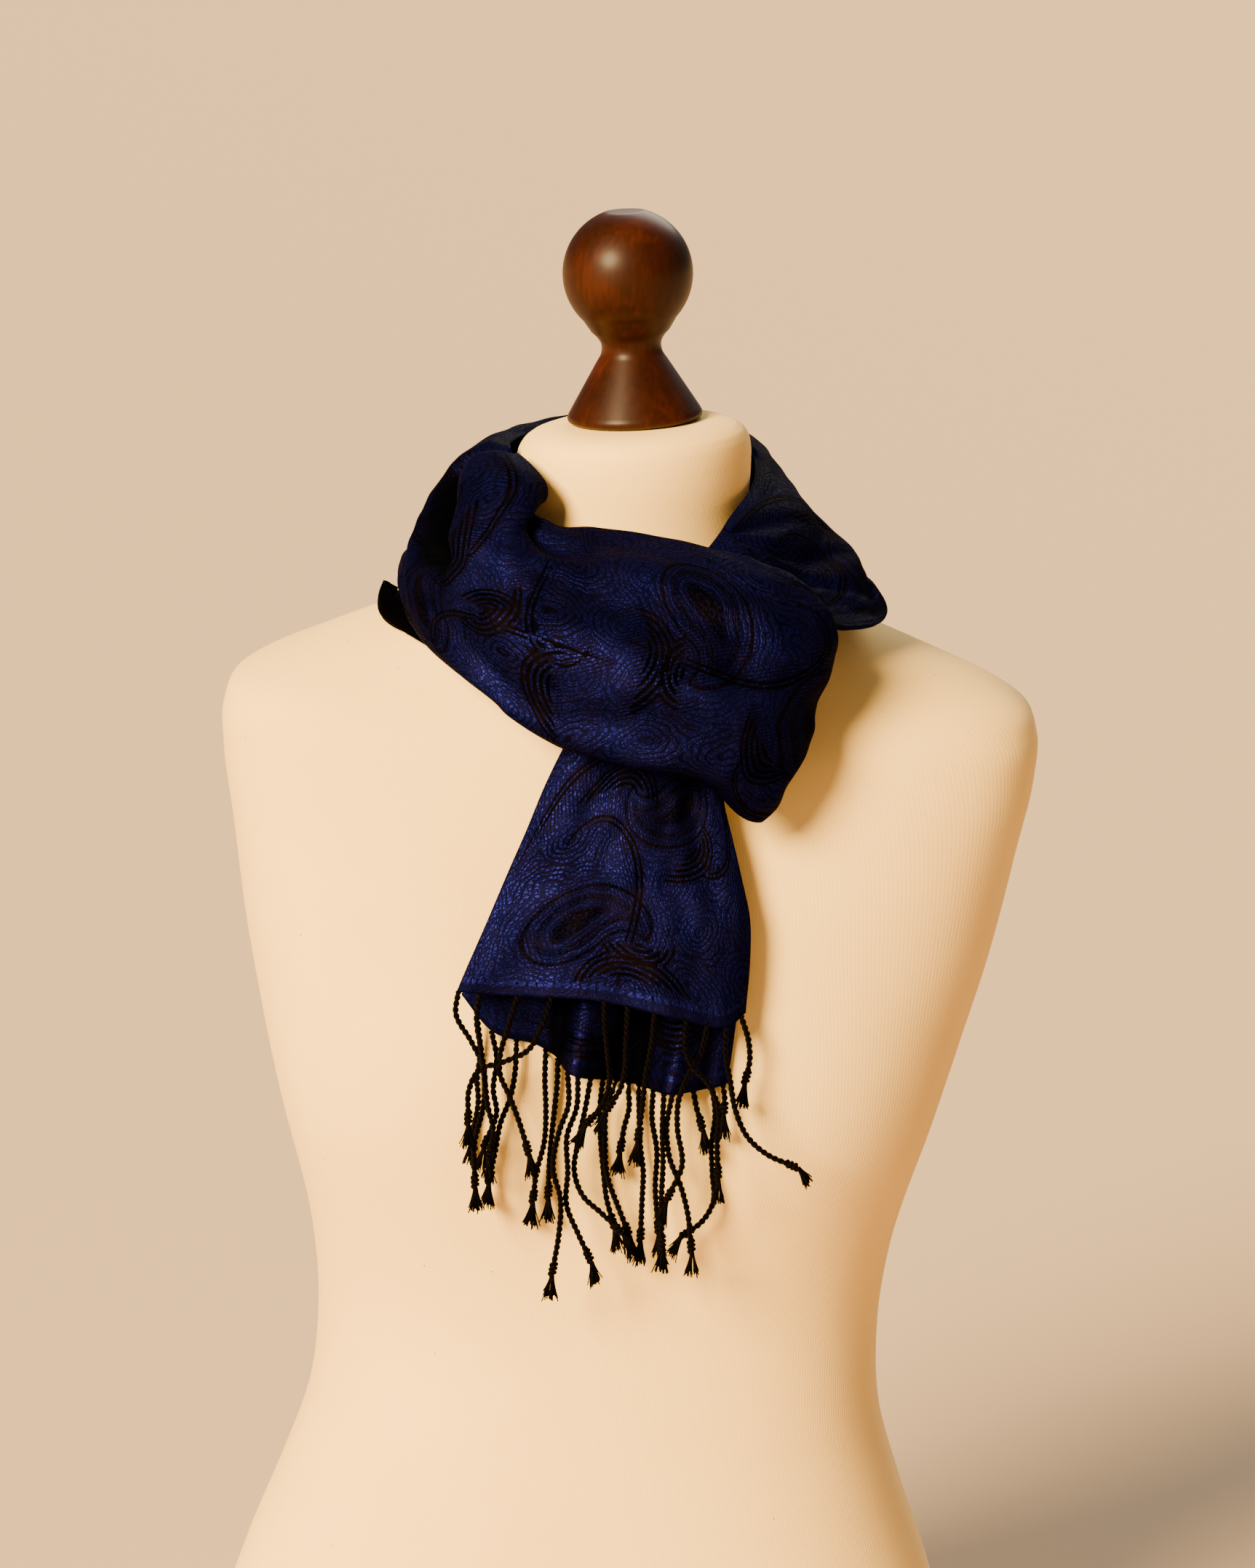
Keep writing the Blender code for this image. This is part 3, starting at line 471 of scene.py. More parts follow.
class Stretch:
    """A stretch of cloth: a smooth sheet through its sections, with folds laid into it."""

    def __init__(self, sections, across, folds=(), flip=False):
        self.names = [row[0] for row in sections]
        self.points = np.array([row[1:] for row in sections], float)
        self.across = np.array(across, float)
        self.folds = folds
        self.flip = flip
        self.lead = None
        self.along = run_length(self.points.mean(axis=1))
        self.length = self.along[-1]
        gaps = np.linalg.norm(np.diff(self.points, axis=1), axis=2)
        self.width = gaps.sum(axis=1).mean()

    def reach(self, row):
        """Length of the stretch from its first section to a row of the table."""
        return float(np.interp(row, np.arange(len(self.along)), self.along))

    def place(self, name):
        """The fraction along the stretch where a named section lies."""
        return self.reach(self.names.index(name)) / self.length

    def plain(self, u, v):
        """Grid of points at the fractions u along and v across, without folds."""
        rows = through(self.along, self.points, np.asarray(u) * self.length, self.lead)
        return np.stack([through(self.across, row, v) for row in rows])

    def outward(self, u, v):
        """Unit normals of the plain sheet at a grid of places, on the side that shows."""
        along = self.plain(np.minimum(u + PROBE, 1), v) - self.plain(np.maximum(u - PROBE, 0), v)
        across = self.plain(u, np.minimum(v + PROBE, 1)) - self.plain(u, np.maximum(v - PROBE, 0))
        return unit(np.cross(across, along) * (-1 if self.flip else 1))

    def grid(self, u, v):
        """The same grid with its folds, kept clear of the form."""
        points = self.plain(u, v)
        n = self.outward(u, v)
        uu, vv = np.meshgrid(u, v, indexing="ij")
        for fold in self.folds:
            points = points + n * self.fold_height(fold, uu, vv)[..., None]
        return clear_of_form(points)

    def fold_height(self, fold, uu, vv):
        """Height of one fold over the plain sheet: below it for a trough, above for a ridge."""
        _, first, last, (width0, width1), (depth0, depth1) = fold
        start, end = (np.array([self.reach(row), v * self.width]) for row, v in (first, last))
        run = end - start
        reach = np.linalg.norm(run)
        px, py = uu * self.length - start[0], vv * self.width - start[1]
        t = (px * run[0] + py * run[1]) / reach**2
        off = (px * run[1] - py * run[0]) / reach
        width = width0 + (width1 - width0) * np.clip(t, 0, 1)
        depth = depth0 + (depth1 - depth0) * np.clip(t, 0, 1)
        beyond = np.maximum(0, np.maximum(-t, t - 1)) * reach
        return depth * np.exp(-((off / width) ** 2)) * np.exp(-((beyond / width) ** 2))


def meet(one, other):
    """Gives two stretches that start at the same section one slope there."""
    slope = (one.points[1] - other.points[1]) / (one.along[1] + other.along[1])
    one.lead, other.lead = slope, -slope


# %% Sections of the shawl
def table(text):
    """Rows of a text table: a name before the colon, then groups of numbers between commas.

    A line that starts with a space goes on with the row above it.
    """
    rows = [line.split(":") for line in text.strip().replace("\n ", " ").splitlines()]
    return [(name, *[tuple(map(float, group.split())) for group in groups.split(",")])
            for name, groups in rows]


# Columns of a section, from the neck outwards: the edge by the neck, the crest, the roll,
# the face, the belly, the lower edge and the edge that turns under.
ACROSS = (0.0, 0.09, 0.21, 0.44, 0.68, 0.91, 1.0)
# A table has a row for each section: its name, then a point for each column. The first row lies
# at the back, right of the middle, where the loop and the two ends meet.
[SEAM_ROW] = table("""
seam: 44 50 667, 49 55 670, 59 63 663, 68 72 640, 76 82 610, 82 90 584, 82 89 574
""")
LOOP = [SEAM_ROW, *table("""
back: 2 66 674, 2 71 676, 1 80 668, 0 90 641, -2 99 606, -4 106 574, -5 106 563
back left: -44 50 667, -50 55 669, -61 61 659, -73 67 634, -86 71 609, -92 74 586, -92 73 577
left: -60 8 665, -69 9 667, -84 8 658, -95 5 638, -104 0 618, -111 -3 604, -108 -4 597
left front: -57 -31 668, -67 -36 668, -84 -34 657, -98 -34 632, -105 -41 610,
  -106 -52 592, -99 -54 586
left chest: -41 -60 657, -50 -69 655, -71 -75 643, -88 -80 621, -95 -83 599,
  -91 -86 579, -82 -82 575
front left: -38 -68 640, -42 -80 638, -51 -95 631, -62 -109 609, -68 -115 587,
  -66 -114 565, -58 -106 561
front: -17 -72 639, -18 -85 633, -20 -101 630, -25 -127 604, -30 -137 575,
  -33 -130 547, -29 -118 543
front right: 12 -77 637, 13 -90 632, 14 -105 627, 12 -132 601, 8 -146 569, 4 -139 539, 5 -125 536
right: 37 -85 634, 40 -96 631, 44 -108 623, 45 -132 596, 41 -146 563, 36 -141 535, 36 -128 531
bight front: 62 -93 629, 68 -100 624, 74 -109 614, 75 -126 587, 68 -138 556,
  57 -135 525, 55 -124 519
bight edge: 83 -92 618, 91 -95 612, 98 -98 603, 97 -103 578, 90 -112 549, 74 -120 523, 65 -118 514
bight back: 93 -90 594, 95 -89 591, 96 -88 586, 92 -87 568, 83 -93 546, 66 -103 524, 59 -105 518
under right: 63 -76 584, 64 -77 581, 65 -79 576, 64 -82 561, 58 -88 544, 48 -96 528, 44 -98 524
under front: 28 -79 586, 29 -80 583, 30 -81 578, 28 -84 564, 24 -89 549, 19 -94 536, 17 -96 533
under middle: -10 -77 592, -11 -78 589, -13 -80 583, -17 -84 569, -21 -89 556,
  -25 -92 545, -26 -93 542
under left: -40 -66 598, -43 -68 595, -48 -70 589, -55 -74 578, -61 -78 569,
  -65 -80 562, -66 -80 559
under chest: -60 -42 604, -65 -44 600, -72 -48 594, -83 -53 584, -93 -55 578,
  -100 -53 580, -101 -50 585
under shoulder: -69 -14 606, -75 -15 601, -86 -17 594, -101 -21 585, -113 -25 580,
  -120 -24 590, -118 -20 599
under back: -68 16 606, -74 17 602, -84 18 595, -96 18 586, -106 18 580, -113 16 584, -113 15 591
""")]
# A row for each fold: where it starts and where it ends (row of the table, part across), its
# half width at both ends, its height at both ends. A negative height is a trough.
LOOP_FOLDS = table("""
step behind the panel: 3.95 0, 3.5 0.17, 4 5, -8 -11
pocket upper: 3.45 0.23, 4.3 0.37, 6 9, -15 -22
pocket lower: 4.5 0.39, 4.95 0.54, 8 8, -13 -6
outer roll: 3.2 0.44, 4.4 0.68, 8 9, 3 4
recess under the tab: 5.6 0, 5.75 0.05, 5 5, -9 -8
crease under the tab: 5.8 0.08, 7 0.18, 4 7, -8 -3
soft trough high: 6.6 0.3, 9.2 0.46, 11 14, -4 -3
soft ridge: 6.2 0.52, 9 0.64, 12 14, 4 4
soft trough low: 6.3 0.8, 9.3 0.74, 9 10, -3 -4
turn of the bight: 9.9 0.66, 11 0.55, 8 9, -3 -5
back trough: 0.5 0.55, 2.2 0.48, 11 10, -4 -3
back ridge: 0.4 0.8, 2.4 0.74, 10 10, 4 3
""")
# The two ends lie on one another round the right of the neck, pass through the bight and
# hang. Columns, from the neck outwards, then from the left edge of a tail to its right edge.
ENDS = [SEAM_ROW, *table("""
right back: 54 32 664, 57 36 667, 66 42 660, 78 50 640, 88 58 614, 95 64 592, 97 64 584
right side: 59 8 659, 63 10 659, 74 12 652, 85 8 641, 97 12 620, 106 18 604, 108 18 597
shoulder: 58 -12 654, 64 -12 652, 78 -9 645, 97 -4 632, 108 -2 616, 114 2 604, 114 3 598
shoulder front: 53 -31 648, 60 -31 646, 76 -27 638, 99 -19 625, 114 -17 613,
  121 -18 603, 120 -18 598
corner: 47 -46 642, 55 -47 640, 72 -44 630, 97 -38 614, 116 -33 602, 125 -31 596, 122 -35 594
into the loop: 38 -64 631, 45 -67 628, 60 -70 618, 79 -69 606, 97 -67 599, 107 -66 595, 104 -69 594
mouth of the loop: 26 -76 618, 33 -80 614, 46 -85 608, 63 -86 602, 80 -85 600,
  90 -83 600, 89 -85 598
in the loop: 4 -92 590, 11 -98 587, 25 -103 582, 43 -106 576, 58 -108 572, 70 -107 570, 71 -104 567
below the loop: -28 -103 537, -22 -107 537, -9 -110 536, 10 -112 533, 30 -112 528,
  45 -110 524, 49 -107 523
tail upper: -43 -112 500, -37 -115 500, -21 -118 500, 3 -119 500, 29 -118 499,
  49 -116 499, 54 -113 500
tail middle: -58 -121 462, -51 -123 462, -33 -126 463, -3 -128 464, 30 -127 462,
  58 -123 461, 64 -118 462
hem: -73 -130 424, -65 -132 424, -43 -134 424, -7 -136 424, 31 -135 417, 57 -130 413, 64 -123 418
""")]
ENDS_FOLDS = table("""
collar trough: 3 0.4, 6 0.3, 9 8, -3 -4
collar ridge: 2.4 0.58, 5 0.55, 8 9, 2 3
gather left: 8.2 0.3, 10.2 0.24, 7 9, -4 -2
gather middle: 8.2 0.52, 10.4 0.5, 7 10, 3 2
gather right: 8.2 0.74, 10.6 0.78, 7 9, -4 -2
hem wave left: 11.2 0.2, 12 0.18, 9 8, -2 -4
hem wave right: 11 0.62, 12 0.64, 10 9, 2 4
""")
BACK_TAIL = table("""
upper: -40 -106 498, -34 -109 498, -20 -112 498, 2 -113 498, 27 -112 497, 46 -110 496, 51 -107 496
middle: -54 -110 463, -47 -112 462, -29 -114 461, -2 -115 459, 28 -114 457,
  53 -112 456, 59 -109 456
lower: -68 -114 428, -58 -115 424, -38 -116 420, -8 -118 418, 28 -118 416, 54 -115 414, 60 -111 414
hem: -71 -115 419, -57 -117 403, -36 -117 396, -14 -120 384, 22 -121 378, 50 -119 379, 57 -115 381
""")
BACK_TAIL_FOLDS = table("""
rolled pleat left: 1.5 0.42, 3 0.42, 6 7, 2 9
between the pleats: 1.4 0.58, 3 0.58, 8 9, -3 -8
rolled pleat right: 1.2 0.74, 3 0.74, 6 7, 2 9
wing: 1.5 0.24, 3 0.22, 8 8, -2 -5
""")
# The longer tail hangs behind. It starts as the first tail's plain sheet, moved back by
# UNDERLAP: pressed together in the loop, then past the gathers. Its own sections follow.
UNDERLAP = (CLOTH + 1.1, 6.8)

# %% Finer creases
# The same columns as the folds above.
LOOP_CREASES = table("""
roll behind the shoulder: 2.3 0.3, 3.4 0.52, 5 5, -2 -2.5
pull from the tab: 5.7 0.14, 6.8 0.34, 4 9, -1.6 -0.6
second pull: 5.9 0.26, 7.6 0.46, 5 8, 1.2 0.8
drag by the chest: 5.2 0.62, 6.6 0.8, 6 7, -1.6 -1
drag low: 6.4 0.9, 8.6 0.86, 5 6, 1.2 1.4
swell of the swathe: 7 0.46, 8.8 0.5, 9 10, 1.5 1.8
slack at the bight: 9 0.3, 10.4 0.36, 6 7, 1.4 1.6
slack at the bight low: 9.3 0.52, 10.3 0.5, 5 6, -1.2 -2
tuck at the bight: 9.8 0.84, 10.5 0.8, 5 6, -2.5 -2.5
back crease high: 0.6 0.28, 2.3 0.24, 5 6, -1.5 -1.5
back crease low: 0.2 0.68, 1.8 0.64, 6 6, 1.5 1.2
""")
ENDS_CREASES = table("""
collar line: 2.2 0.72, 5.2 0.76, 5 5, -1.2 -1.6
collar line high: 3.6 0.2, 6.2 0.16, 5 5, 1 1.2
pleat high: 5.4 0.05, 3.6 0.24, 2.2 4, -3.4 -1.4
pleat middle: 5.5 0.1, 3.9 0.5, 2.2 5, -3.6 -1.8
pleat low: 5.6 0.17, 4.7 0.68, 2.2 5, -3.4 -1.8
tail crease left: 9 0.16, 11.4 0.3, 4 8, 1.2 0.6
tail crease middle: 8.8 0.4, 11.2 0.44, 4 9, -1.6 -0.5
tail crease right: 8.8 0.62, 11.6 0.8, 4 8, 1.4 0.8
""")
BACK_TAIL_CREASES = table("""
gap left: 1.6 0.33, 3 0.32, 5 6, -2 -4
roll left: 2.2 0.46, 3 0.47, 5 6, 0.5 3
gap middle: 1.6 0.59, 3 0.59, 5 7, -3 -5
roll right: 2.2 0.73, 3 0.73, 5 6, 0.5 3
gap right: 1.8 0.86, 3 0.88, 4 5, -1 -3
""")

# %% Build the sheets
FINE_STEP = 1.4  # spacing of the visible cloth's points
CLOTH_WIDE = 124.0  # width that shows of the doubled and folded shawl
# The faint waves that any worn cloth has: their height, one wave in radians, and for each its
# length along and across the cloth, its slant and its phase.
RIPPLE_HEIGHT, WAVE = 0.22, 6.28
RIPPLES = [(61, 19, 0.3, 0.4), (43, 13, -0.5, 2.1), (29, 31, 0.8, 4.0)]

loop = Stretch(LOOP, ACROSS, LOOP_FOLDS + LOOP_CREASES)
ends = Stretch(ENDS, ACROSS, ENDS_FOLDS + ENDS_CREASES, flip=True)
back_tail = Stretch(BACK_TAIL, ACROSS, BACK_TAIL_FOLDS + BACK_TAIL_CREASES, flip=True)
meet(loop, ends)


def places(length):
    """Fractions from 0 to 1, a fine step apart on cloth of that length."""
    return np.linspace(0, 1, int(round(1 / (FINE_STEP / length))) + 1)


def ripple(u, v):
    """Height of the faint waves at places on the flat cloth, in millimetres."""
    total = np.zeros(u.shape)
    for long, wide, slant, phase in RIPPLES:
        along = np.sin(u / long * WAVE + slant * v / 9 + phase)
        total += RIPPLE_HEIGHT * along * np.cos(v / wide * WAVE + phase)
    return total


def fine_grid(stretch, u, side=1):
    """Points of a stretch with its ripple, and their places on the flat cloth."""
    run, wide = np.meshgrid(side * u * stretch.length, across * CLOTH_WIDE, indexing="ij")
    points = stretch.grid(u, across) + stretch.outward(u, across) * ripple(run, wide)[..., None]
    return clear_of_form(points), np.stack([run, wide], -1)


across, loop_u, ends_u = places(CLOTH_WIDE), places(loop.length), places(ends.length)
loop_grid, loop_flat = fine_grid(loop, loop_u)
ends_grid, ends_flat = fine_grid(ends, ends_u, side=-1)
print("cloth along the neck:", round(loop.length + ends.length), "mm")

# %% [markdown]
# ### Pocket and bight
#
# On the left shoulder the cloth lies over itself along a crisp edge, with a deep pocket beside
# it. A fold is too round for that, so every point's distance from the edge is measured, and the
# points past it sink steeply. The pocket's inside is darkened with painted shade. Past the bight
# the cloth turns over and shows its reverse, and the bight's lower corner is blunt.

# %% The pocket at the left shoulder
# A row is a place on the edge: row of the table and part across, depth and width of the pocket
# there, and how far the edge hangs over it.
PANEL_EDGE = np.array([
    (3.30, 0.10, 0, 9, 0),
    (3.62, 0.16, 6, 17, 2),
    (3.92, 0.21, 9, 23, 3),
    (4.52, 0.26, 10, 27, 3),
    (4.94, 0.34, 7, 20, 3),
    (5.26, 0.43, 0, 12, 0),
])


def beside_edge(stretch, u, v):
    """Distance from the edge, above zero over the pocket, and the edge's own three values."""
    down = [stretch.reach(row) for row in PANEL_EDGE[:, 0]]
    path = np.stack([down, PANEL_EDGE[:, 1] * stretch.width], -1)
    place = np.stack(np.meshgrid(u * stretch.length, v * stretch.width, indexing="ij"), -1)
    off, values = np.full(place.shape[:2], FAR), np.zeros((*place.shape[:2], 3))
    for number, start in enumerate(path[:-1]):
        run = path[number + 1] - start
        t = np.clip((place - start) @ run / (run @ run), 0, 1)[..., None]
        gap = place - start - t * run
        far = np.linalg.norm(gap, axis=-1)
        closer = far < np.abs(off)
        side = np.where(run[0] * gap[..., 1] > run[1] * gap[..., 0], 1, -1)
        off = np.where(closer, side * far, off)
        first, second = PANEL_EDGE[number : number + 2, 2:]
        values = np.where(closer[..., None], first + (second - first) * t, values)
    return off, *np.moveaxis(values, -1, 0)


def lay_panel(points, stretch, u, v):
    """Sinks the pocket and draws the panel's edge over it. Also returns what lies inside it.

    The drop is 3.6 mm wide. The edge pulls 8 mm of the panel along with it, and 2.5 mm of the
    cloth beyond. The painted shade inside ends softly past the pocket's width.
    """
    off, depth, wide, overhang = beside_edge(stretch, u, v)
    sunk = ease((off + 0.6) / 3.6) * np.exp(-((np.maximum(off, 0) / wide) ** 2))
    slide = overhang * np.exp(-((off / np.where(off < 0, 8.0, 2.5)) ** 2))
    outward = unit(np.gradient(points, axis=1))
    moved = points - stretch.outward(u, v) * (depth * sunk)[..., None] + outward * slide[..., None]
    # Painted shade: how dark the pocket's inside is drawn, from 0 to 1.
    inside = ease((off + 0.3) / 1.5) * ease((1.6 * wide - off) / (0.7 * wide)) * ease(depth / 5)
    return clear_of_form(moved), inside


loop_grid, pocket_shade = lay_panel(loop_grid, loop, loop_u, across)

# %% The bight's corner, the reverse and the painted shade
# A row is a place, how far round it the cloth moves, and the move, in millimetres.
CORNER_MOVES = [((58, -122, 518), 11, (2, 0, -6)), ((69, -117, 518), 9, (4, 0, 0))]
TURN_ROW, TURN_LONG = 10.7, 20.0  # where the cloth turns over, and over how many millimetres

for middle, spread, move in CORNER_MOVES:
    apart = np.linalg.norm(loop_grid - middle, axis=2, keepdims=True)
    loop_grid = loop_grid + np.array(move) * np.exp(-((apart / spread) ** 2))
# Past the turn the under rows are drawn plain near-black. This is partly the cloth's own dark
# reverse and partly painted shade under the swathe. The pocket's painted shade joins it.
turned = ease((loop_u * loop.length - loop.reach(TURN_ROW)) / TURN_LONG)[:, None]
loop_reverse_and_shade = np.maximum(pocket_shade, turned)

# %% The longer tail
INSIDE_ROWS = 40
INSIDE_FROM, INSIDE_PART = 0.05, 0.83  # the part across that it takes up inside the loop
BRIDGE_ROWS = 8  # from there to its own sections, of which it skips BRIDGE_SKIPS rows
BRIDGE_SKIPS = 4
TAIL_FROM = -420.0  # where it starts on the flat cloth, so that its pattern isn't the first one's
TAIL_MIDDLE = 36  # column of its points near the middle


def back_tail_points():
    """The longer tail: pressed behind the first one inside the loop, then on its own sections."""
    low, high = ends.place("in the loop") + PROBE, ends.place("tail upper")
    u, inside = np.linspace(low, high, INSIDE_ROWS), INSIDE_FROM + INSIDE_PART * across
    back = np.interp(np.arange(INSIDE_ROWS), (0, 5), UNDERLAP)[:, None, None]
    upper = ends.plain(u, inside) - ends.outward(u, inside) * back
    lower = back_tail.grid(places(back_tail.length), across)
    share = ease(np.linspace(0, 1, BRIDGE_ROWS + 1))[1:, None, None]
    bridge = upper[-1] + (lower[BRIDGE_SKIPS] - upper[-1]) * share
    points = np.concatenate([upper, bridge, lower[BRIDGE_SKIPS + 1 :]])
    run = TAIL_FROM - run_length(points[:, TAIL_MIDDLE])
    return points, np.stack(np.meshgrid(run, across * CLOTH_WIDE, indexing="ij"), -1)


tail_grid, tail_flat = back_tail_points()
# Painted shade darkens the gaps between the back tail's rolled pleats: middle and half width of
# each gap as parts across, and how dark its painted shade is.
TAIL_GAP_SHADE = [(0.59, 0.075, 1.0), (0.32, 0.06, 0.9), (0.87, 0.04, 0.6)]
tail_gap_shade = sum(strength * np.exp(-(((across - middle) / half) ** 4))
                   for middle, half, strength in TAIL_GAP_SHADE)
print("longer tail:", len(tail_grid), "rows")

# %% [markdown]
# ## The woven pattern
#
# Jacquard weaving lifts single warp threads, so the pattern is in the cloth itself: glossy blue
# satin where the silk floats on top, and matt black where the weft covers it. The traditional
# leaf with a curled tip, called boteh or paisley, is drawn here as a row of circles along a bent
# spine. The feathers beside it are combs of tapered strokes that lie inside a curling spine, and
# the ribbons are two such strokes. Each point of the cloth stores how far it is from the nearest
# leaf, and how far inside the nearest spine. The material draws all its lines from these smooth
# values, so a line can be finer than the mesh. Rings round small seeds fill the ground.

# %% Leaf and feather shapes
def bent_spine(length, bend, count, power):
    """Points of a spine that turns more and more towards its tip."""
    s = np.linspace(0, 1, count)
    angle = bend * s**power
    step = length / count
    return s, np.stack([np.cumsum(np.cos(angle)), np.cumsum(np.sin(angle))], -1) * step


def leaf(size, bend):
    """Circles (x, y, radius) of a paisley leaf, widest at 0.3 of its length."""
    s, spine = bent_spine(size, bend, 40, 1.7)
    belly = np.where(s < 0.3, np.sqrt(np.clip(1 - ((0.3 - s) / 0.3) ** 2, 0, 1)),
                     1 - (np.clip(s - 0.3, 0, 1) / 0.7) ** 1.35)
    return np.column_stack([spine, 0.27 * size * belly])


STROKE_APART = 2.7  # millimetres between the strokes of a feather
STROKES_WIDE = 5.6  # strokes side by side in a feather's middle


def feather(size, bend):
    """Spine (x, y, width of the comb there) of a feather: its strokes lie inside the curl."""
    s, spine = bent_spine(size, bend, int(size * 1.5), 1.5)
    room = STROKES_WIDE * STROKE_APART * np.sin(math.pi * np.clip(s * 1.15 - 0.02, 0, 1)) ** 0.8
    return np.column_stack([spine, np.maximum(room, 1.3 * np.sin(math.pi * s) ** 0.4)])


def ribbon(size, bend):
    """Spine of two long strokes side by side, with a hook at the end."""
    s, spine = bent_spine(size, bend, int(size), 3.0)
    return np.column_stack([spine, 2.1 * STROKE_APART * np.sin(math.pi * s) ** 0.35])


# %% Where the shapes lie
REPEAT = 190.0  # length of the pattern's repeat along the cloth, in millimetres
# Place along and across in millimetres, size, direction in degrees, bend.
LEAVES = [(20, 30, 60, 24, 2.6), (112, 96, 62, 204, 2.7)]
FEATHERS = [(88, 22, 84, 20, 3.6), (4, 92, 78, -30, -3.4), (176, 112, 80, 200, 3.7),
            (60, 74, 62, 100, -3.2), (140, 40, 66, 60, 3.4), (30, 52, 50, 150, -3.3),
            (118, 66, 46, -70, 3.0)]
RIBBONS = [(0, 60, 130, 12, -3.6), (188, 70, 124, 188, -3.8), (60, 6, 96, 8, 4.0),
           (120, 120, 92, 174, 4.0), (150, 20, 84, 96, -3.6)]
REACH = 40  # a shape counts up to this far past its own size, in millimetres


def placed(circles, u, v, turn):
    """The circles moved to a place on the cloth, turned by some degrees."""
    x, y, r = circles.T
    c, s = math.cos(math.radians(turn)), math.sin(math.radians(turn))
    return np.column_stack([u + c * x - s * y, v + s * x + c * y, r])


def repeated(flat, shapes, maker):
    """Each repeated shape in turn: the places on the cloth near it, its circles and its bend."""
    first = math.floor(flat[..., 0].min() / REPEAT) - 1
    last = math.ceil(flat[..., 0].max() / REPEAT) + 1
    for number in range(first, last):
        for u, v, size, turn, bend in shapes:
            u = u + number * REPEAT
            near = np.abs(flat[..., 0] - u) < size + REACH
            if near.any():
                yield near, placed(maker(size, bend), u, v, turn), bend


def leaf_distance(flat):
    """Distance from each place on the cloth to the nearest leaf's outline, below zero inside."""
    found = np.full(flat.shape[:-1], FAR)
    for near, circles, _ in repeated(flat, LEAVES, leaf):
        gap = np.linalg.norm(flat[near][:, None] - circles[:, :2], axis=-1) - circles[:, 2]
        found[near] = np.minimum(found[near], gap.min(axis=1))
    return found


def comb_fields(flat):
    """For each place: how far inside the nearest feather's spine, and how far from its rim.

    The rim also closes the comb 0.9 mm outside its spine and 1.3 mm past the spine's ends.
    """
    off, room = np.zeros(flat.shape[:-1]), np.full(flat.shape[:-1], -50.0)
    for shapes, maker in ((FEATHERS, feather), (RIBBONS, ribbon)):
        for near, circles, bend in repeated(flat, shapes, maker):
            gap = flat[near][:, None] - circles[:, :2]
            closest = np.linalg.norm(gap, axis=-1).argmin(axis=1)
            gap = gap[np.arange(len(gap)), closest]
            forward = unit(np.gradient(circles[:, :2], axis=0)[closest])
            inward = forward[:, 0] * gap[:, 1] - forward[:, 1] * gap[:, 0]
            inward = inward * math.copysign(1, bend)
            beyond = np.abs((forward * gap).sum(axis=1))
            here = np.minimum(circles[closest, 2] - inward, (inward + 0.9) * 4)
            here -= 3 * np.maximum(beyond - 1.3, 0)
            better = here > room[near]
            off[near] = np.where(better, inward, off[near])
            room[near] = np.maximum(room[near], here)
    return off, room


# %% Seeds, and the fields on the cloth
SEED_APART = (31.0, 25.0)  # millimetres between the seeds, along and across
COMB_ECHO = 9  # a comb counts as this far off, so the rows bend round it but don't crowd it


def seed_rings(flat):
    """Distance to the nearest seed of a staggered and bent lattice, so that no two rings agree."""
    nearest_seed = np.full(flat.shape[:-1], FAR)
    along, wide = flat[..., 0], flat[..., 1]
    bent_u = along + 7 * np.sin(wide / 17 + 0.6) + 4 * np.sin(along / 23 + wide / 31)
    bent_v = wide + 6 * np.sin(along / 21) + 4 * np.sin(along / 13 - wide / 27 + 1.0)
    for shift in (0.0, 0.5):
        u = bent_u / SEED_APART[0] + shift
        v = bent_v / (2 * SEED_APART[1]) + shift
        du = (u - np.round(u)) * SEED_APART[0] * 0.75
        dv = (v - np.round(v)) * 2 * SEED_APART[1]
        nearest_seed = np.minimum(nearest_seed, np.hypot(np.hypot(du, dv), 2.5))
    return nearest_seed


def cloth_mesh(name, grid, flat, reverse, hem):
    """The sheet, with the pattern's distances. Its hem lies at one place along the cloth."""
    index = np.arange(flat[..., 0].size).reshape(flat.shape[:2])
    faces = faces_between(index, False)
    mesh = smooth_mesh(name, grid, faces.tolist())
    corners = (flat * MM).reshape(-1, 2)[faces.reshape(-1)]
    uv = mesh.uv_layers.new(name="cloth")
    uv.data.foreach_set("uv", corners.astype(np.float32).reshape(-1))
    leaves = leaf_distance(flat)
    off, room = comb_fields(flat)
    echo = np.minimum(np.minimum(leaves, seed_rings(flat)), np.maximum(-room, 0) + COMB_ECHO)
    # The last field is how near-black the cloth is drawn: painted shade in the pocket and pleat
    # gaps, and the reverse where it shows.
    stored = {"leaf": leaves, "echo": echo, "comb": off, "comb_room": room,
              "hem": np.abs(flat[..., 0] - hem), "reverse": np.broadcast_to(reverse, index.shape)}
    for field, values in stored.items():
        layer = mesh.attributes.new(field, "FLOAT", "POINT")
        layer.data.foreach_set("value", values.astype(np.float32).reshape(-1))
    return mesh


# %% [markdown]
# ### Silk jacquard
#
# Close up, the satin is not smooth: the weave is tied down along rows that follow the pattern,
# one every 2.3 mm, and each row breaks into short cells, so the cloth looks like fine pebbled
# leather. The shader draws the rows from the stored distance and the cells with a Voronoi
# texture. Silk itself is glossy and dark, and its highlight takes the thread's colour, as on a
# metal: a partly metallic base gives that.

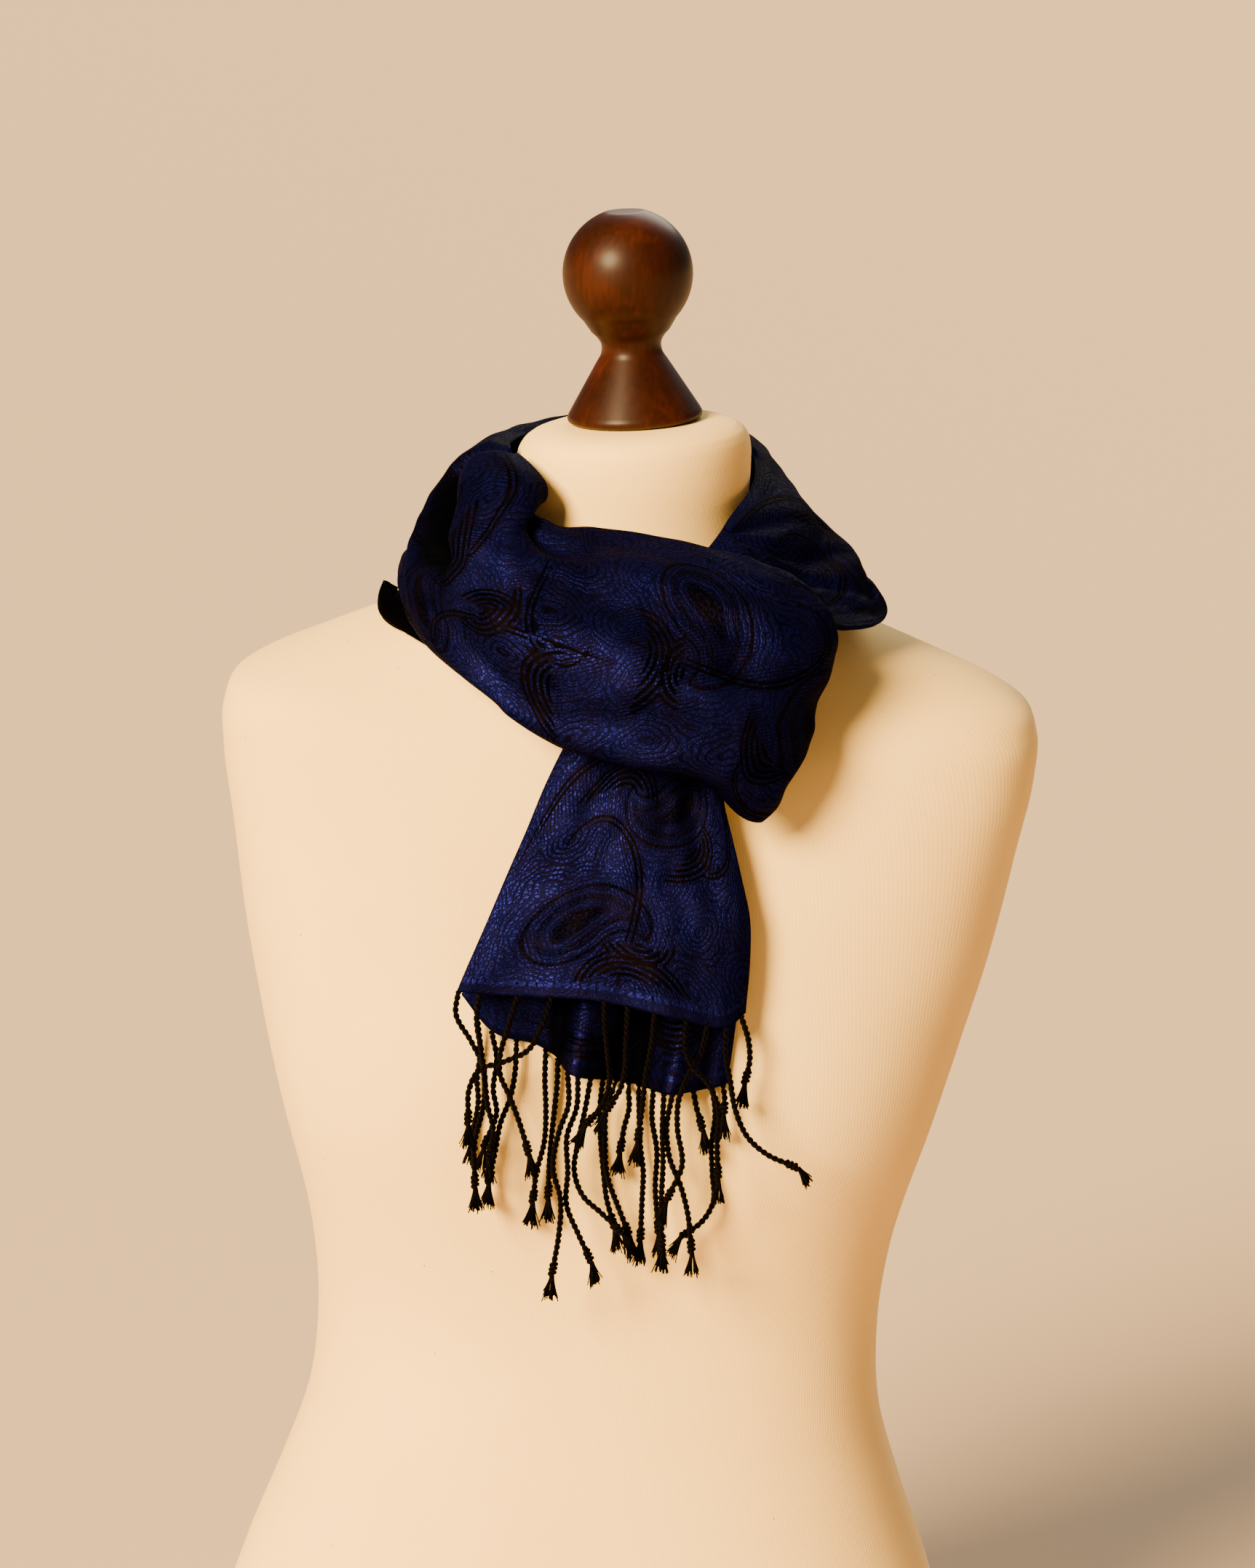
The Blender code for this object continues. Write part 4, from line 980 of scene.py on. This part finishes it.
# %% Silk threads and places
ROW_MM = 2.3  # from one tied row to the next
CELL_MM = 1.9  # length of a cell in the row
DASH_MM = 3.4  # from one dash of the hem to the next
silk, tree, shader = new_material("silk_jacquard_satin", Metallic=0.8, Specular_IOR_Level=0.06)
shader.inputs["Specular Tint"].default_value = linear("#30305c")
cloth_place = add_node(tree, "UVMap", uv_map="cloth")
along_cloth, across_cloth, _ = add_node(tree, "SeparateXYZ", [cloth_place]).node.outputs
field = {"along": along_cloth, "across": across_cloth}
for name in ("leaf", "echo", "comb", "comb_room", "hem", "reverse"):
    field[name] = add_node(tree, "Attribute", out="Fac", attribute_name=name)
for name, size, detail in (("wander", 13.0, 2.0), ("patch", 46.0, 2.0), ("thread", 1.3, 1.0)):
    inputs = {"Vector": cloth_place, "Scale": 1000 / size, "Detail": detail}
    field[name] = add_node(tree, "TexNoise", inputs)
field["cells"] = add_node(tree, "TexVoronoi", {"Vector": cloth_place, "Scale": 1000 / CELL_MM},
                          feature="DISTANCE_TO_EDGE")

# %% Silk material
# Each row makes one node: its name, what it does, and what goes in, by name or as a number.
# FADE maps one range of a value to another and stops at its ends. RAMP colours a value.
SILK_STEPS = [
    # The tied rows follow the pattern, waver a little, and fade in places.
    ("rows", "DIVIDE", "echo", ROW_MM),
    ("wavering", "MULTIPLY_ADD", "wander", 3.6, "rows"),
    ("from_row", "PINGPONG", "wavering", 0.5),  # 0 on a row's line, 0.5 halfway to the next
    ("ragged_row", "MULTIPLY_ADD", "thread", -0.30, "from_row"),
    ("row_line", "FADE", "ragged_row", -0.08, 0.13, 1.0, 0.0),
    ("row_share", "FADE", "patch", 0.40, 0.62, 1.0, 0.70),
    ("faded_row", "MULTIPLY", "row_line", "row_share"),
    ("cell_line", "FADE", "cells", 0.03, 0.14, 0.8, 0.0),
    ("lines", "MAXIMUM", "faded_row", "cell_line"),
    # The black of a leaf: its inside, and its outline with one echo round it.
    ("by_leaf", "FADE", "leaf", -12.0, 12.0),
    ("leaf_black", "RAMP", "by_leaf", [
        (0.00, 0.95), (0.12, 0.35), (0.22, 0.75), (0.31, 0.80), (0.35, 0.10), (0.45, 0.10),
        (0.47, 0.95), (0.52, 0.95), (0.55, 0.0), (1.0, 0.0)]),
    ("leaf_thread", "FADE", "thread", 0.35, 0.6, 1.3, 0.8),
    ("leaf_fill", "MULTIPLY", "leaf_black", "leaf_thread"),
    # The strokes of a comb lie on equal offsets from its spine and get thin towards its rim.
    ("stroke", "DIVIDE", "comb", STROKE_APART),
    ("part_off", "PINGPONG", "stroke", 0.5),
    ("off_stroke", "MULTIPLY", "part_off", STROKE_APART),
    ("half_stroke", "FADE", "comb_room", -0.5, 3.2, -0.9, 0.45),
    ("ragged_half", "MULTIPLY_ADD", "thread", 0.8, "half_stroke"),
    ("past_stroke", "SUBTRACT", "off_stroke", "ragged_half"),
    ("stroke_fill", "FADE", "past_stroke", -0.15, 0.25, 1.0, 0.0),
    # Slanting hatch stitches shade the ground round the combs and leaves.
    ("slant_along", "MULTIPLY", "along", 260.0),
    ("slant", "MULTIPLY_ADD", "across", 620.0, "slant_along"),
    ("bent_slant", "MULTIPLY_ADD", "wander", 1.5, "slant"),
    ("off_stitch", "PINGPONG", "bent_slant", 0.5),
    ("stitches", "FADE", "off_stitch", 0.14, 0.26, 1.0, 0.0),
    ("by_comb", "FADE", "comb_room", -9.0, -2.0),
    ("round_leaf", "FADE", "leaf", 5.0, 1.0),
    ("shaded", "MAXIMUM", "by_comb", "round_leaf"),
    ("shaded_stitches", "MULTIPLY", "stitches", "shaded"),
    ("hatch_share", "FADE", "patch", 0.42, 0.52, 0.0, 0.9),
    ("hatch", "MULTIPLY", "shaded_stitches", "hatch_share"),
    # All the black together, which stops short of the hem.
    ("strokes", "MAXIMUM", "stroke_fill", "hatch"),
    ("fill", "MAXIMUM", "leaf_fill", "strokes"),
    ("clear_hem", "FADE", "hem", 7.6, 9.0),
    ("fill_drawn", "MULTIPLY", "fill", "clear_hem"),
    ("lines_drawn", "MULTIPLY", "lines", 0.9),
    ("black", "MAXIMUM", "fill_drawn", "lines_drawn"),
    # The hem: a plain band, and above it a line of short bright dashes.
    ("dash_place", "MULTIPLY", "across", 1000 / DASH_MM),
    ("off_dash", "PINGPONG", "dash_place", 0.5),
    ("dashes", "FADE", "off_dash", 0.12, 0.2),
    ("dash_tone", "MULTIPLY_ADD", "dashes", -1.0, 0.2),
    ("below_fill", "FADE", "hem", 7.4, 7.8, 1.0, 0.0),
    ("above_band", "FADE", "hem", 5.2, 5.6),
    ("in_dashes", "MULTIPLY", "below_fill", "above_band"),
    ("black_dashed", "MULTIPLY_ADD", "in_dashes", "dash_tone", "black"),
    ("in_band", "FADE", "hem", 5.0, 5.4, 0.6, 0.0),
    # The plain hem band, and the painted shade and reverse, are all drawn black.
    ("plain", "MAXIMUM", "in_band", "reverse"),
    ("black_all", "MAXIMUM", "black_dashed", "plain"),
    # The colours of blue and black silk, the gloss, and the height of the threads.
    ("blue", "RAMP", "patch", [(0.30, "#0a0b37"), (0.65, "#11134b")]),
    ("dark", "RAMP", "wander", [(0.35, "#020202"), (0.70, "#0b0604")]),
    ("gloss", "FADE", "black_all", 0.0, 1.0, 0.45, 0.66),
    ("relief", "SUBTRACT", "thread", "lines"),
]
for name, does, *given in SILK_STEPS:
    kind = {"FADE": "MapRange", "RAMP": "ValToRGB"}.get(does, "Math")
    stops = given.pop() if does == "RAMP" else ()
    settings = {"operation": does, "use_clamp": name.startswith("black")} if kind == "Math" else {}
    inputs = [field.get(value, value) for value in given]
    field[name] = add_node(tree, kind, inputs, stops=stops, **settings)
print("silk:", len(tree.nodes), "nodes")

colour = add_node(tree, "Mix", {0: field["black_all"], 6: field["blue"], 7: field["dark"]}, out=2,
                  data_type="RGBA")
# Painted shade: the pocket, the gaps between the back tail's pleats and the reverse past the bight
# all go near-black here.
colour = add_node(tree, "Mix", {0: field["reverse"], 6: colour, 7: linear("#020204")}, out=2,
                  data_type="RGBA")
tree.links.new(colour, shader.inputs["Base Color"])
tree.links.new(field["gloss"], shader.inputs["Roughness"])
bump = add_node(tree, "Bump", {"Strength": 0.45, "Distance": 0.0005, "Height": field["relief"]})
tree.links.new(bump, shader.inputs["Normal"])

# %% The cloth pieces
NO_HEM = 1e4  # a place so far off that the stretch has no hem


def add_cloth(name, grid, flat, reverse, *nodes, hem=NO_HEM):
    """A thin closed sheet of silk over the grid, in place of the named CAD nodes."""
    mesh = cloth_mesh(name, grid, flat, reverse, hem)
    piece = add_piece(name, mesh, silk, "navy_jacquard_silk", *nodes)
    wall = piece.modifiers.new("thickness", "SOLIDIFY")
    wall.thickness = CLOTH * MM
    wall.offset = 0
    print(name + ":", len(mesh.polygons), "quads")
    return piece


shawl_loop = add_cloth("silk_loop", loop_grid, loop_flat, loop_reverse_and_shade, "shawl_back",
                       "shawl_left_shoulder", "shawl_front_swathe", "shawl_under_leg")
shawl_ends = add_cloth("silk_ends", ends_grid[:, ::-1], ends_flat[:, ::-1], 0.0,
                       "shawl_right_collar", "shawl_front_tail", hem=ends_flat[-1, 0, 0])
shawl_tail = add_cloth("silk_back_tail", tail_grid[:, ::-1], tail_flat[:, ::-1],
                       tail_gap_shade[::-1], "shawl_back_tail", hem=tail_flat[-1, 0, 0])

# %% [markdown]
# ## The fringe
#
# The warp ends are bundled and twisted into two-ply cords, knotted, and cut so that their ends
# fray into a little brush. A cord is built as it is made: two plies that wind round each other
# along the cord's route, then a knot of one short coil, then a few dozen loose threads.
# A curve with a round bevel would be quicker, but it has no plies, and they show in the picture.

# %% Strand routes
SEAM = 0.55  # gap between the cloth and the strip below its hem
HEM_STRIP = 2.6  # height of that strip
STRAND_DEPTH = 2.3  # from one layer of strands to the next
STRAND_CLEAR = 4.0  # least clearance of the strands from the form
ROOT_LIFT = 2.2  # a cord starts this far up in the hem
ROOT_DROP = 12.0  # and comes out to its own layer over this height
CORD_STEP = 0.8  # spacing of the points along a cord
# Each strand: how many strand depths it hangs in front of its hem, then its route from the hem
# down to its knot, as places to the right and up. The cut ends flare below the knot.
FRONT_FRINGE = table("""
0: -72 424, -73 414, -65 400, -59 388, -58 372, -62 348, -61 333
2: -62 424, -63 414, -60 396, -58 383, -56 370, -53 358, -54 349
1: -44 424, -48 408, -51 396, -51 386, -46 375, -40 360, -37 351
3: -28 424, -32 412, -38 400, -49 394, -61 389, -65 380, -65 367
1: -3 424, -2 410, 0 396, 1 385, -2 374, -7 367
3: 8 421, 8 407, 8 394, 6 383, 2 376
0: 21 419, 20 404, 18 390, 17 374, 16 362
2: 36 416, 36 404, 40 395, 47 388, 53 375, 53 360, 54 345
0: 46 415, 44 402, 38 389, 34 376, 34 364, 37 344, 32 331
2: 55 414, 55 402, 58 388, 61 374, 68 360, 78 352, 88 348
0: 62 416, 66 405, 67 394, 66 388
""")
BACK_FRINGE = table("""
-1: -63 405, -61 390, -62 378, -61 368, -63 352
1: -56 402, -53 390, -54 374, -52 364, -56 350
0: -44 399, -44 384, -46 370, -50 358, -52 344, -54 331
0: -30 395, -30 380, -29 366, -29 350, -32 334, -33 322
-1: -24 391, -24 378, -25 362, -26 344, -26 324
2: -19 387, -18 372, -22 358, -24 340, -20 326, -20 308, -22 292
0: -14 384, -14 370, -18 356, -17 338, -17 322, -11 308, -6 298
1: -8 383, -10 368, -13 350, -14 338, -9 325, -1 318, 7 311
-1: -2 382, -3 366, -2 350, 0 334, 2 321, 5 311
2: 4 381, 0 368, 0 354, 2 334, 7 320, 12 308
1: 10 380, 11 368, 9 358, 8 350
0: 15 379, 16 364, 17 350, 19 336, 19 322, 19 305
-1: 22 378, 22 364, 25 348, 25 330, 27 312
1: 27 378, 27 362, 28 346, 28 328, 29 308
0: 31 378, 29 362, 31 348, 37 334, 41 320, 43 306
1: 41 379, 43 370, 45 364
-1: 50 379, 52 366, 51 350, 52 336, 53 322, 47 311, 42 307
1: 55 381, 56 375, 56 371
""")


def hem_line(grid):
    """The middle of the strip below a hem: its points moved off the cloth, square to the hem."""
    hem = grid[-1]
    along = np.gradient(hem, axis=0)
    down = hem - grid[-2]
    down = down - along * ((down * along).sum(axis=1) / (along**2).sum(axis=1))[:, None]
    return hem + unit(down) * (SEAM + HEM_STRIP / 2)


def strand_route(line, depth, way):
    """Smooth route of a cord from the hem's line to its knot."""
    x, z = np.array(way, float).T
    z[0] = np.interp(x[0], line[:, 0], line[:, 2]) + ROOT_LIFT
    away = ease((z[0] - z) / ROOT_DROP)
    y = np.interp(x[0], line[:, 0], line[:, 1]) - away * depth * STRAND_DEPTH
    route = np.stack([x, y, z], -1)
    length = run_length(route)
    points = through(length, route, np.linspace(0, length[-1], int(length[-1] / CORD_STEP)))
    points[3:] = clear_of_form(points[3:], STRAND_CLEAR + (depth + 1) * STRAND_DEPTH)
    return points


# %% Cord, knot and tuft
RANDOM = np.random.default_rng(7)
PLY = 0.80  # radius of one ply
PLY_COIL = PLY * 0.95  # radius of its turns, a little less, so that the plies press together
PLY_SIDES = 6
TWIST_PITCH = 6.0  # length of one turn of the twist
KNOT_TURN, KNOT_PITCH, KNOT_ROPE = 1.25, 2.1, 1.05  # radius and pitch of its coil, half thickness
KNOT_REACH = (-1.5, 4.5)  # from above to below the end of the route
THREADS = 44
THREAD = 0.34  # half thickness of a loose thread
THREAD_SPREAD = (0.02, 0.30)  # how far the threads flare, for each millimetre down
THREAD_LONG = (8.5, 12.5)
THREAD_CURL = 0.8  # how far a thread's end may bend sideways
TUFT = 0.9  # radius of the tuft where it leaves the knot


def frames(route):
    """Two unit directions square to a route at each of its points, without sudden turns."""
    forward = unit(np.gradient(route, axis=0))
    side = unit(np.cross(forward, (0.0, 1.0, 0.0)))
    return side, np.cross(side, forward)


def pipe(route, radius, sides):
    """Grid of points of a round tube."""
    side, up = frames(route)
    turn = np.linspace(0, 2 * math.pi, sides, endpoint=False)[None, :, None]
    ring = np.cos(turn) * side[:, None] + np.sin(turn) * up[:, None]
    return route[:, None] + ring * radius


def coil(route, radius, pitch, phase=0.0):
    """A route wound round another one."""
    side, up = frames(route)
    turn = (run_length(route) / pitch * 2 * math.pi + phase)[:, None]
    return route + radius * (np.cos(turn) * side + np.sin(turn) * up)


def cord_tubes(route):
    """All the tubes of one cord: two plies, its knot and its frayed end."""
    tubes = [pipe(coil(route, PLY_COIL, TWIST_PITCH, phase), PLY, PLY_SIDES)
             for phase in (0, math.pi)]
    onward = unit(route[-1] - route[-4])
    down = (onward + np.array([0, 0, -1.0])) / 2
    core = route[-1] + onward * np.linspace(*KNOT_REACH, 26)[:, None]
    tubes.append(pipe(coil(core, KNOT_TURN, KNOT_PITCH), KNOT_ROPE, PLY_SIDES))
    side, up = (d[-1] for d in frames(route))
    t = np.linspace(0, 1, 6)[:, None]
    for _ in range(THREADS):
        turn, spread = RANDOM.uniform(0, 2 * math.pi), RANDOM.uniform(*THREAD_SPREAD)
        out = math.cos(turn) * side + math.sin(turn) * up
        long = RANDOM.uniform(*THREAD_LONG)
        curl = RANDOM.uniform(-1, 1) * THREAD_CURL * np.array([1.0, 0.0, 0.0])
        path = core[-1] + down * long * t + out * (TUFT + spread * long * t**1.4) + curl * t**2
        tubes.append(pipe(path, THREAD, 3))
    return tubes


def join_tubes(name, tubes):
    """One mesh of many closed tubes."""
    faces, start = [], 0
    for tube in tubes:
        rows, sides = tube.shape[:2]
        index = start + np.arange(rows * sides).reshape(rows, sides)
        faces += faces_between(index, True).tolist()
        faces += [index[0, ::-1].tolist(), index[-1].tolist()]
        start += rows * sides
    return smooth_mesh(name, np.concatenate([tube.reshape(-1, 3) for tube in tubes]), faces)


# %% [markdown]
# ### Twisted silk cord
#
# The cords are twisted from the black warp with some blue, so they look black-brown. The twist
# breaks up silk's gloss, so they are much duller than the satin.

# %% Cord material
cord_silk, tree, shader = new_material("twisted_silk_cord", Roughness=0.7, Specular_IOR_Level=0.03)
place = add_node(tree, "TexCoord", out="Object")
# Specks every 1.7 mm. The real threads are far finer and would vanish.
speck = add_node(tree, "TexNoise", {"Vector": place, "Scale": 600.0, "Detail": 2.0})
tint = add_node(tree, "ValToRGB", [speck],
                stops=[(0.40, "#010101"), (0.60, "#070303"), (0.74, "#03030a")])
tree.links.new(tint, shader.inputs["Base Color"])

for name, grid, strands, node in (("cords_front", ends_grid, FRONT_FRINGE, "fringe_front"),
                                  ("cords_back", tail_grid, BACK_FRINGE, "fringe_back")):
    line = hem_line(grid)
    routes = [strand_route(line, float(depth), way) for depth, *way in strands]
    tubes = [tube for route in routes for tube in cord_tubes(route)]
    cords = add_piece(name, join_tubes(name, tubes), cord_silk, "dark_silk_cord", node)
    print(name + ":", len(cords.data.polygons), "faces")

# %% [markdown]
# ## Floor and light
#
# A plain warm floor runs far back, so it fills the picture behind the form, and no wall is
# needed. One large soft light stands at the left, a weak one behind shows the form's back, and a
# dim even sky keeps the shadows open.

# %% Floor and lights
FLOOR_SIZE = 200.0  # metres, so that its far end is never seen
SKY = 0.16  # strength of the even light from all round
floor_paint, tree, shader = new_material("warm_matt_floor", Roughness=0.9)
shader.inputs["Base Color"].default_value = linear("#c6ae8d")
floor_mesh = bpy.data.meshes.new("floor")
half = FLOOR_SIZE / 2
floor_mesh.from_pydata([(-half, -half, 0), (half, -half, 0), (half, half, 0), (-half, half, 0)],
                       [], [(0, 1, 2, 3)])
floor_mesh.materials.append(floor_paint)
put_in_scene("floor", floor_mesh)


def soft_light(name, azimuth, elevation, spread, strength, hex_colour):
    """A far, soft light: spread is the angle in degrees that its source covers in the sky."""
    data = bpy.data.lights.new(name, "SUN")
    data.angle = math.radians(spread)
    data.energy = strength
    data.color = linear(hex_colour)[:3]
    a, e = math.radians(azimuth), math.radians(elevation)
    from_there = Vector((math.sin(a) * math.cos(e), -math.cos(a) * math.cos(e), math.sin(e)))
    light = put_in_scene(name, data)
    light.rotation_euler = (-from_there).to_track_quat("-Z", "Y").to_euler()


soft_light("key", -37, 27, 24, 17.5, "#ffda9f")
soft_light("back", 168, 34, 40, 2.6, "#fff0dc")
world = bpy.data.worlds.new("studio")
world.use_nodes = True
sky = world.node_tree.nodes["Background"]
sky.inputs["Color"].default_value = linear("#e9eef4")
sky.inputs["Strength"].default_value = SKY
bpy.context.scene.world = world
